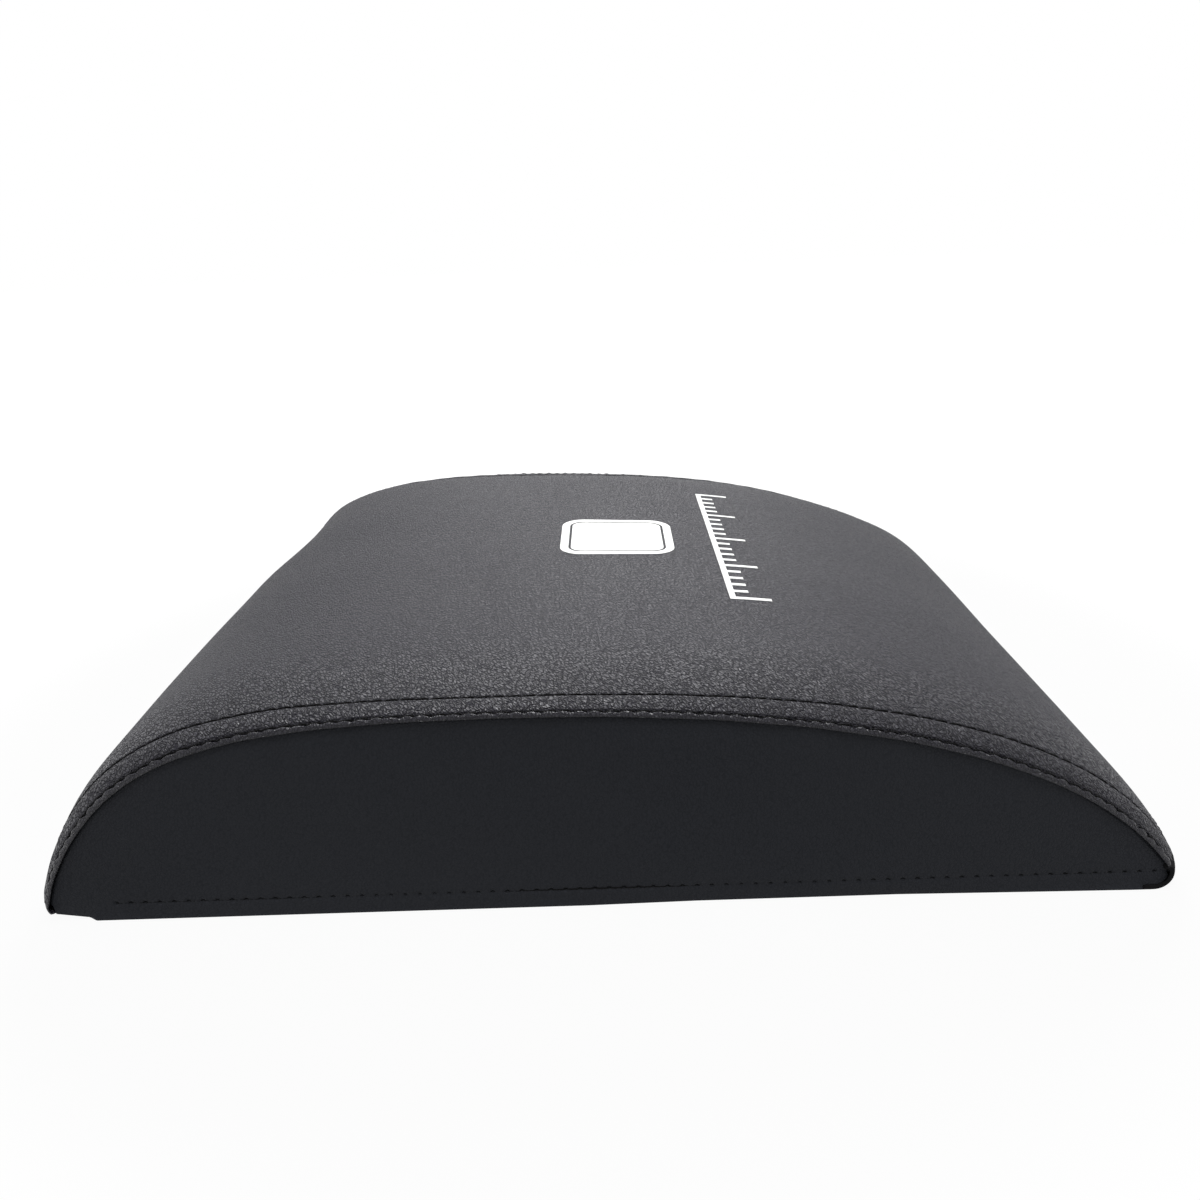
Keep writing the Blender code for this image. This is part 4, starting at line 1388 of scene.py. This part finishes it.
@dataclass
class BaseSheet:
    """The floor sheet: a hem at the zip, lips inside the side panels, a nose at the thin end."""

    arch: Arch
    finish: bpy.types.Material
    riser: float = 3.0 * MM
    hem: float = 4.0 * MM
    lip: float = 7.0 * MM
    nose_lip: float = 2.5 * MM
    lap: float = 16.0 * MM
    nose_top: float = math.radians(24)
    edge_round: float = 0.35 * MM
    # Distances in from each side of the lines along the sheet, in mm.
    lines: tuple[float, ...] = (
        0.0, 0.06, 0.25, 0.6, 1.2, 2.4, 4, 7, 11, 16, 24, 36, 52, 72, 96, 120,
    )

    def floor_line(self) -> tuple[np.ndarray, np.ndarray]:
        """Draw the hem, the riser and the floor, seen from the front.

        Returns:
            The outer and inner line.
        """
        riser_at = MAT.base_edge + self.hem
        step = np.linspace(0, 1, 7)
        level = MAT.hem_level * (1 - smooth(step))
        drop = np.column_stack([riser_at + self.riser * step, level])
        before = np.array([12, 8, 6, 5.2, 4.5, 3.8, 3, 1.5]) * MM
        flat = np.linspace(drop[-1, 0], MAT.nose_at - 16 * MM, 22)[1:]
        flat = np.concatenate([flat, MAT.nose_at - before])
        hem = [[MAT.base_edge, MAT.hem_level], [MAT.base_edge + self.hem / 2, MAT.hem_level]]
        outer = np.vstack([hem, drop, np.column_stack([flat, 0 * flat])])
        return outer, outer + (0, MAT.base_sheet)

    def nose_line(self) -> tuple[np.ndarray, np.ndarray]:
        """Draw the nose and the lap under the cover's end, seen from the front.

        Returns:
            The outer and inner line.
        """
        curled = np.linspace(-math.pi / 2, self.nose_top, 16)
        turn = np.concatenate([curled, [self.nose_top + 0.35, self.nose_top + 0.7]])
        lines = []
        for inset in (0.0, MAT.base_sheet):
            across, high = MAT.nose_reach - inset, MAT.nose_level - inset
            x = MAT.nose_at + across * np.cos(turn)
            curl = np.column_stack([x, MAT.nose_level + high * np.sin(turn)])
            curl[-2:] -= (0.6 * MM, 0.9 * MM)
            course = self.arch.course(self.arch.seam - np.linspace(1.5 * MM, self.lap, 8))
            lap = course[:, :2] - course[:, 2:4] * (MAT.flange_depth + inset)
            lines.append(np.vstack([curl, lap]))
        return lines[0], lines[1]

    def build(self) -> bpy.types.Object:
        """Make the sheet.

        Returns:
            The sheet's object.
        """
        floor_line, nose_line = self.floor_line(), self.nose_line()
        outer, inner = (np.vstack([low, high]) for low, high in zip(floor_line, nose_line))
        row = np.arange(len(outer))
        first = len(floor_line[0])
        swell = smooth((outer[:, 0] - MAT.nose_at + 30 * MM) / (30 * MM))
        # The lips stand up inside the side panels, and get lower towards the nose.
        lips = self.lip * smooth((outer[:, 0] - MAT.base_edge - self.hem) / self.riser)
        lower = smooth((outer[:, 0] - MAT.nose_at + 12 * MM) / (12 * MM))
        lips *= 1 - lower * (1 - self.nose_lip / self.lip)
        lips = np.where(row < first, lips, 0.0)
        # Round the nose the sheet widens to its rim instead.
        wide = smooth((outer[:, 0] - MAT.nose_at + 6 * MM) / (3 * MM))
        wide = wide * smooth((first + 18.5 - row) / 3)
        lips = lips * (1 - wide)
        half = np.array(self.lines) * MM
        rim = MAT.inside_half + (MAT.nose_rim - MAT.inside_half) * wide[:, None]
        y = np.concatenate([half - rim, 0 * rim, rim - half[::-1]], axis=1)
        edge = np.concatenate([half, [0.1], half[::-1]])[None, :]
        trim = rounded(edge, self.edge_round) * np.maximum(wide, lips <= 0)[:, None]
        tip = self.arch.course(np.full(1, self.arch.length))
        bulge = lay(tip, y.reshape(1, -1), 0.0)[0, :, 0].reshape(y.shape) - tip[0, 0] - MAT.foot_x
        standing = np.clip(lips[:, None] - edge * 14, 0, None)
        grids = []
        for line, other, share in ((outer, inner, 0.0), (inner, outer, 1.0)):
            away = (other - line) / MAT.base_sheet
            x = line[:, :1] + away[:, :1] * trim + swell[:, None] * bulge + MAT.foot_x
            lean = share * MAT.base_sheet * np.exp(-edge / (0.8 * MM)) * (lips > 0)[:, None]
            z = line[:, 1:] + away[:, 1:] * trim + standing
            grids.append(np.stack([x, y - np.sign(y) * lean, z], axis=-1))
        sheet = Shop.add("cover_base", Shop.sheet(*grids), self.finish)
        Shop.dress(sheet, Body.MAT, "base_sheet", "base_panel")
        return sheet


@dataclass
class FoamCore:
    """The moulded foam block that fills the cover and holds its arch."""

    arch: Arch
    cover: TopCover
    finish: bpy.types.Material
    clear: float = 1.9 * MM
    corner: float = 4.0 * MM
    # Under the tall end the block is cut away at an x, up to a level, for the zip to lie in.
    cut_level: float = 7.95 * MM
    cut_x: float = 19.2 * MM
    cut_run: float = 6.2 * MM
    # Distances in from each side of the lines along the block, in mm.
    lines: tuple[float, ...] = (0, 0.4, 1.2, 2.4, 4, 6, 8.5, 11, 14, 18, 24, 34, 50, 75, 105)

    def build(self) -> bpy.types.Object:
        """Make the block.

        Returns:
            The block's object.
        """
        rim = MAT.inside_half - self.clear
        half = np.array(self.lines) * MM
        y = np.concatenate([half - rim, [0.0], (rim - half)[::-1]])
        edge = np.concatenate([half, [0.1], half[::-1]])
        steps = np.linspace(4 * MM, self.arch.length - 6 * MM, 90)
        course = self.arch.course(steps)
        # The top lies close under the leather, and lower where the seam allowances are turned in.
        skin = MAT.panel + MAT.gap
        depth = skin + MAT.flange_depth * smooth((14 * MM - edge) / (2 * MM))
        depth = depth[None, :] + smooth((steps[:, None] - steps[-1] + 0.03) / 0.03) * self.clear
        depth = depth - np.minimum(self.cover.slack(steps[:, None], y[None, :]), 0.0)
        top = lay(course, y[None, :], depth + rounded(edge, self.corner)[None, :])
        under_end = top[..., 0] < MAT.foot_x + 0.05
        top[..., 2] = np.maximum(top[..., 2], self.cut_level * under_end)
        front, back = top[0].copy(), top[-1].copy()
        front[:, 0] = MAT.foot_x + self.cut_x
        front[:, 2] = self.cut_level
        step = front.copy()
        step[:, 0] += self.cut_run
        step[:, 2] = self.clear
        back[:, 0] = np.minimum(back[:, 0], MAT.foot_x + MAT.nose_at)
        back[:, 2] = self.clear
        rings = np.concatenate([top, back[None], step[None], front[None]]).transpose(1, 0, 2)
        block = Shop.add("foam_block", Shop.loft(rings), self.finish)
        Shop.dress(block, Body.MAT, "foam", "foam_core")
        return block


@dataclass
class Zip:
    """The zip under the tall end: two woven tapes with moulded teeth, three stops and a slider."""

    nodes: dict[str, bpy.types.Object]
    finishes: Finishes
    chain_x: float = 10.7 * MM
    level: float = 5.55 * MM
    # A tape: its thickness, its width, half its length, and the rib woven beside the teeth.
    tape: float = 0.5 * MM
    tape_width: float = 4.6 * MM
    tape_half: float = 144.3 * MM
    rib: float = 0.10 * MM
    # The chain: half its width, its cord, and where the teeth begin and end.
    chain_half: float = 2.55 * MM
    cord: float = 0.9 * MM
    cord_high: float = 1.24 * MM
    teeth_from: float = -135.45 * MM
    teeth_to: float = 132.55 * MM
    tooth_pitch: float = 3.0 * MM
    tooth_high: float = 1.8 * MM
    # The rows mesh, so their first teeth stand half a pitch apart.
    offsets: tuple[tuple[int, str, float], ...] = (
        (-1, "outer", 0.15 * MM),
        (1, "inner", 1.65 * MM),
    )

    def build(self) -> None:
        """Make the tapes and teeth, and give the hard pieces their finishes."""
        for side, name, offset in self.offsets:
            self.add_tape(side, name)
            self.add_teeth(side, name, offset)
        hard = (
            ("zip_top_stop_outer", Body.MAT, self.finishes.teeth),
            ("zip_top_stop_inner", Body.MAT, self.finishes.teeth),
            ("zip_bottom_stop", Body.MAT, self.finishes.teeth),
            ("zip_slider", Body.SLIDER, self.finishes.enamel),
            ("zip_pull_tab", Body.TAB, self.finishes.enamel),
        )
        for name, body, finish in hard:
            self.nodes[name].material_slots[0].material = finish
            log.info("%s: the part's own solid, rides on %s", name, body.value)

    def add_tape(self, side: int, name: str) -> None:
        """Make one tape, with the thicker woven rib that its edge has beside the teeth.

        Args:
            side: -1 for the tape nearer the tall end, 1 for the other.
            name: the tape's name.
        """
        across = np.array([0, 0.1, 0.5, 0.9, 1.1, 1.6, 2.4, 3.2, 3.9, 4.3, 4.5, 4.6]) * MM
        swell = self.rib * bell((across - 0.5 * MM) / (0.35 * MM))
        near, far = (np.exp(-away / (0.06 * MM)) for away in (across, self.tape_width - across))
        half = self.tape / 2 + swell - 0.18 * MM * (near + far)
        y = np.linspace(-self.tape_half, self.tape_half, 120)[:, None]
        x = MAT.foot_x + self.chain_x + side * (self.chain_half + MAT.gap + across)
        middle = self.level + 0.05 * MM * ripple(41, y / (9 * MM))
        faces = [np.stack(np.broadcast_arrays(x, y, middle + up * half), axis=-1) for up in (1, -1)]
        tape = Shop.add(f"tape_{name}", Shop.sheet(*faces), self.finishes.tape)
        Shop.dress(tape, Body.MAT, "zip_tape", f"zip_tape_{name}")

    def add_teeth(self, side: int, name: str, offset: float) -> None:
        """Make one row of teeth on its cord, each with a waist and a rounded head.

        Args:
            side: -1 for the row nearer the tall end, 1 for the other.
            name: the row's name.
            offset: distance of the first tooth from the chain's start.
        """
        angle = np.linspace(0, math.tau, 10, endpoint=False)
        ends = np.linspace(self.teeth_from, self.teeth_to, 60)[:, None]
        x = side * (self.chain_half - self.cord / 2) + self.cord / 2 * np.cos(angle)
        z = self.cord_high / 2 * np.sin(angle)
        parts = [Shop.loft(np.stack(np.broadcast_arrays(x, ends, z), axis=-1))]
        width = self.tooth_pitch / 2 - MAT.gap
        root = side * (self.chain_half - 0.05 * MM)
        head = -side * (self.chain_half - self.cord - MAT.gap)
        along = np.linspace(0, 1, 9)[:, None]
        waist = np.interp(
            along, [0, 0.15, 0.35, 0.6, 0.8, 0.93, 1.0], [0.8, 1.0, 0.86, 0.80, 1.0, 0.92, 0.6]
        )
        quarter = [(1, 0.55), (0.7, 1), (-0.7, 1), (-1, 0.55)]
        corner = np.array(quarter + [(-a, -b) for a, b in quarter])
        high = self.tooth_high / 2 * (0.82 + 0.18 * waist) * corner[:, 1]
        y = self.teeth_from + offset + width / 2
        while y + width / 2 < self.teeth_to:
            tooth = (root + (head - root) * along, y + width / 2 * waist * corner[:, 0], high)
            parts.append(Shop.loft(np.stack(np.broadcast_arrays(*tooth), axis=-1)))
            y += self.tooth_pitch
        points, faces = Shop.merge(parts)
        points += (MAT.foot_x + self.chain_x, 0, self.level)
        teeth = Shop.add(f"teeth_{name}", (points, faces), self.finishes.teeth, sharp=40)
        Shop.dress(teeth, Body.MAT, "zip_plastic", f"zip_teeth_{name}")


@dataclass
class Prints:
    """The plain prints on the top: a soft-cornered patch with an inset line, and a tick scale."""

    arch: Arch
    cover: TopCover
    finish: bpy.types.Material
    film: float = 0.12 * MM
    lift: float = 0.08 * MM
    # The patch: its centre, half its size, its corners, and the bare line inset from its edge.
    patch: tuple[float, float] = (188.7 * MM, 20.0 * MM)
    patch_half: float = 25.0 * MM
    patch_corner: float = 10.0 * MM
    inset_line: float = 1.1 * MM
    inset_at: float = 3.6 * MM
    # The scale: its line's place, middle and length, and its ticks, with a long one every fifth.
    scale_x: float = 231.0 * MM
    scale_y: float = 21.5 * MM
    scale_length: float = 156.0 * MM
    scale_steps: int = 20
    long_every: int = 5
    line: float = 2.4 * MM
    tick: float = 8.0 * MM
    long_tick: float = 16.0 * MM

    def over(self, x: np.ndarray, y: np.ndarray, lift: float) -> np.ndarray:
        """Put points over the cover at places along and across.

        Args:
            x: distances along the mat from the tall end's foot.
            y: places across.
            lift: height above the cover's surface.

        Returns:
            The points.
        """
        share = 1 - np.exp(-np.clip(MAT.half_width - np.abs(y), 0, None) / MAT.swell_run)
        table = self.arch.table
        drawn = table[:, 0] + table[:, 4] * np.mean(share)
        along, across = np.interp(x.ravel(), drawn, self.arch.along), y.ravel()
        height = lift + self.cover.slack(along, across)
        points = lay(self.arch.course(along), across[:, None], -height[:, None])
        return points.reshape(*x.shape, 3)

    def faces(self, x: np.ndarray, y: np.ndarray) -> tuple[np.ndarray, np.ndarray]:
        """Put the film's upper and under face over the cover.

        Args:
            x: distances along the mat from the tall end's foot.
            y: places across.

        Returns:
            Points of both faces.
        """
        return self.over(x, y, self.lift + self.film), self.over(x, y, self.lift)

    def outline(self, half: float, corner: float, count: int = 16) -> np.ndarray:
        """Draw a soft-cornered square, anticlockwise.

        Args:
            half: half its size.
            corner: radius of its corners.
            count: points in each corner.

        Returns:
            Its places, with the first one again at the end.
        """
        places = []
        for quarter in range(4):
            angle = np.linspace(0, math.pi / 2, count) + quarter * math.pi / 2
            centre = np.sign([math.cos(angle.mean()), math.sin(angle.mean())]) * (half - corner)
            places.append(centre + corner * np.column_stack([np.cos(angle), np.sin(angle)]))
        return np.vstack([*places, places[0][:1]])

    def ring(self, outside: float, inside: float, count: int) -> tuple[np.ndarray, list]:
        """Make one ring of the patch, or its middle where inside is 0.

        Args:
            outside: half its outer size.
            inside: half its inner size.
            count: number of outlines in it.

        Returns:
            Points and faces.
        """
        outlines = []
        for share in np.linspace(0, 1, count):
            size = max(outside + (inside - outside) * share, 0.2 * MM)
            corner = max(self.patch_corner - (self.patch_half - size), 0.0)
            outlines.append(self.outline(size, corner if size > 16 * MM else size * 0.32))
        places = np.stack(outlines)
        x, y = self.patch[0] + places[..., 0], self.patch[1] + places[..., 1]
        top, under = (face[:, :-1] for face in self.faces(x, y))
        rows, columns = top.shape[:2]
        total, last = rows * columns, (rows - 1) * columns
        k = np.arange(columns)
        n = (k + 1) % columns
        upper = Shop.quads(rows, columns, closed=True)[:, ::-1]
        lower = Shop.quads(rows, columns, total, closed=True)
        outer = np.stack([k, n, n + total, k + total], axis=-1)
        sides = np.concatenate([upper, lower, outer]).tolist()
        if inside:
            inner = np.stack([n, k, k + total, n + total], axis=-1) + last
            sides += inner.tolist()
        else:
            sides += [(last + k)[::-1].tolist(), (last + total + k).tolist()]
        return Shop.outward(np.concatenate([top.reshape(-1, 3), under.reshape(-1, 3)]), sides)

    def bar(
        self, low: float, high: float, near: float, far: float, steps: int = 2
    ) -> tuple[np.ndarray, list]:
        """Make one printed bar.

        Args:
            low: its start along the mat.
            high: its end along the mat.
            near: its start across.
            far: its end across.
            steps: faces across.

        Returns:
            Points and faces.
        """
        x = np.linspace(low, high, max(2, round((high - low) / (1.5 * MM)) + 1))
        y = np.linspace(near, far, steps + 1)
        return Shop.sheet(*self.faces(*np.meshgrid(x, y, indexing="ij")))

    def build(self) -> None:
        """Make both prints."""
        inside = self.patch_half - self.inset_at
        patch = [self.ring(self.patch_half, inside, 4), self.ring(inside - self.inset_line, 0.0, 9)]
        start = self.scale_y - self.scale_length / 2
        pitch = (self.scale_length - self.line) / self.scale_steps
        ticks_x = self.scale_x + self.line
        scale = [self.bar(self.scale_x, ticks_x, start, start + self.scale_length, 80)]
        for k in range(self.scale_steps + 1):
            reach = self.tick if k % self.long_every else self.long_tick
            near = start + k * pitch
            scale.append(self.bar(ticks_x, self.scale_x + reach, near, near + self.line))
        for name, parts in (("patch", patch), ("scale", scale)):
            piece = Shop.add(f"print_{name}_film", Shop.merge(parts), self.finish)
            Shop.dress(piece, Body.MAT, "white_print", f"print_{name}")


@dataclass
class Studio:
    """A pale floor under soft lamps, with the camera low in front of the mat's long side."""

    # The camera: its place, its turn from straight ahead in radians, its lens and film in mm.
    eye: tuple[float, float, float] = (0.0067426, -0.4192582, 0.2084584)
    yaw: float = -0.0167011
    pitch: float = 0.3621407
    roll: float = -0.0414803
    lens: float = 30.4716
    sensor: float = 36.0
    # What the world gives as light, and what the floor shows of itself near the mat and far off.
    world_level: float = 0.28
    floor_glow: float = 0.80
    glow_from: float = 0.24
    glow_to: float = 0.50
    white: float = 1.18
    paper: str = "#707070"
    floor_half: float = 4.0
    aim: tuple[float, float, float] = (0.0, 0.0, 0.03)

    def build(self) -> None:
        """Set the background, the floor, the lamps and the camera."""
        scene = bpy.context.scene
        scene.view_settings.view_transform = "Standard"
        self.add_world(scene)
        self.add_floor()
        self.add_lamp("rear_softbox", (0.09, 1.10, 0.94), (0.6, 0.5), 13.7)
        self.add_lamp("overhead_softbox", (0.05, -0.35, 1.10), (0.7, 0.7), 9.0)
        self.add_camera(scene)

    @staticmethod
    def seen(tree: bpy.types.NodeTree) -> bpy.types.Node:
        """Find the rays that show the background: straight, in a reflection or through glass.

        Args:
            tree: the node tree.

        Returns:
            A node that gives 1 for them and 0 for the others.
        """
        path = add_node(tree, "ShaderNodeLightPath", {}).outputs
        straight = {0: path["Is Camera Ray"], 1: path["Is Glossy Ray"]}
        both = add_node(tree, "ShaderNodeMath", straight, operation="MAXIMUM")
        through = {0: both, 1: path["Is Transmission Ray"]}
        return add_node(tree, "ShaderNodeMath", through, operation="MAXIMUM")

    def add_world(self, scene: bpy.types.Scene) -> None:
        """Make the background: white where it is seen, soft fill where it lights.

        Args:
            scene: the scene.
        """
        world = bpy.data.worlds.new("studio")
        world.use_nodes = True
        scene.world = world
        tree = world.node_tree
        levels = {0: self.seen(tree), 1: 0.0, 2: 1.0, 3: self.world_level, 4: 1.0}
        level = add_node(tree, "ShaderNodeMapRange", levels)
        feed(tree.nodes["Background"], {"Color": (1, 1, 1, 1), "Strength": level})

    def add_floor(self) -> None:
        """Make the paper floor: white where it is seen, with the mat's soft shadow kept on it."""
        paper = bpy.data.materials.new("matt_paper")
        paper.use_nodes = True
        tree = paper.node_tree
        tree.nodes.clear()
        place = add_node(tree, "ShaderNodeTexCoord", {}).outputs["Object"]
        far = add_node(tree, "ShaderNodeVectorMath", {0: place}, operation="LENGTH")
        far = far.outputs["Value"]
        rising = {0: far, 1: self.glow_from, 2: self.glow_to, 3: self.floor_glow, 4: 1.0}
        near = add_node(tree, "ShaderNodeMapRange", rising, interpolation_type="SMOOTHSTEP")
        glowing = {0: self.seen(tree), 1: near}
        share = add_node(tree, "ShaderNodeMath", glowing, operation="MULTIPLY")
        matt = add_node(tree, "ShaderNodeBsdfDiffuse", {"Color": srgb(self.paper)})
        glow = add_node(tree, "ShaderNodeEmission", {"Color": (1, 1, 1, 1), "Strength": self.white})
        mixed = add_node(tree, "ShaderNodeMixShader", {0: share, 1: matt, 2: glow})
        add_node(tree, "ShaderNodeOutputMaterial", {0: mixed})
        corners = np.array([(-1, -1, 0), (1, -1, 0), (1, 1, 0), (-1, 1, 0)]) * self.floor_half
        floor = Shop.add("floor", (corners - (0, 0, 0.1 * MM), [[0, 1, 2, 3]]), paper)

    def add_lamp(
        self, name: str, place: tuple[float, ...], size: tuple[float, float], power: float
    ) -> None:
        """Hang one softbox that faces the mat.

        Args:
            name: the lamp's name.
            place: where it hangs.
            size: its width and height.
            power: its power in watts.
        """
        lamp = bpy.data.lights.new(name, "AREA")
        lamp.shape = "RECTANGLE"
        lamp.size, lamp.size_y = size
        lamp.energy = power
        holder = bpy.data.objects.new(name, lamp)
        holder.location = place
        toward = Vector(self.aim) - Vector(place)
        holder.rotation_euler = toward.to_track_quat("-Z", "Y").to_euler()
        bpy.context.scene.collection.objects.link(holder)

    def add_camera(self, scene: bpy.types.Scene) -> None:
        """Place the camera at the photograph's viewing angle.

        Args:
            scene: the scene.
        """
        level = math.cos(self.pitch)
        ahead = Vector(
            (math.sin(self.yaw) * level, math.cos(self.yaw) * level, -math.sin(self.pitch))
        )
        right = Vector((math.cos(self.yaw), -math.sin(self.yaw), 0))
        up = right.cross(ahead)
        cos, sin = math.cos(self.roll), math.sin(self.roll)
        axes = Matrix((cos * right + sin * up, cos * up - sin * right, -ahead)).transposed()
        camera = bpy.data.cameras.new("camera")
        camera.lens = self.lens
        camera.sensor_width = self.sensor
        camera.clip_start = 0.01
        holder = bpy.data.objects.new("camera", camera)
        holder.matrix_world = Matrix.Translation(self.eye) @ axes.to_4x4()
        scene.collection.objects.link(holder)
        scene.camera = holder


def main() -> None:
    """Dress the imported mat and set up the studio."""
    logging.basicConfig(level=logging.INFO, format="%(message)s")
    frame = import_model()
    finishes = Finishes()
    arch = Arch()
    cover = TopCover(arch, finishes.top)
    cover.build()
    for side in Side:
        SidePanel(side, arch, finishes.side).build()
    BaseSheet(arch, finishes.base).build()
    FoamCore(arch, cover, finishes.foam).build()
    Stitching(arch, cover, finishes.thread).build()
    Zip(frame["nodes"], finishes).build()
    Prints(arch, cover, finishes.ink).build()
    Studio().build()


if __name__ == "__main__":
    main()
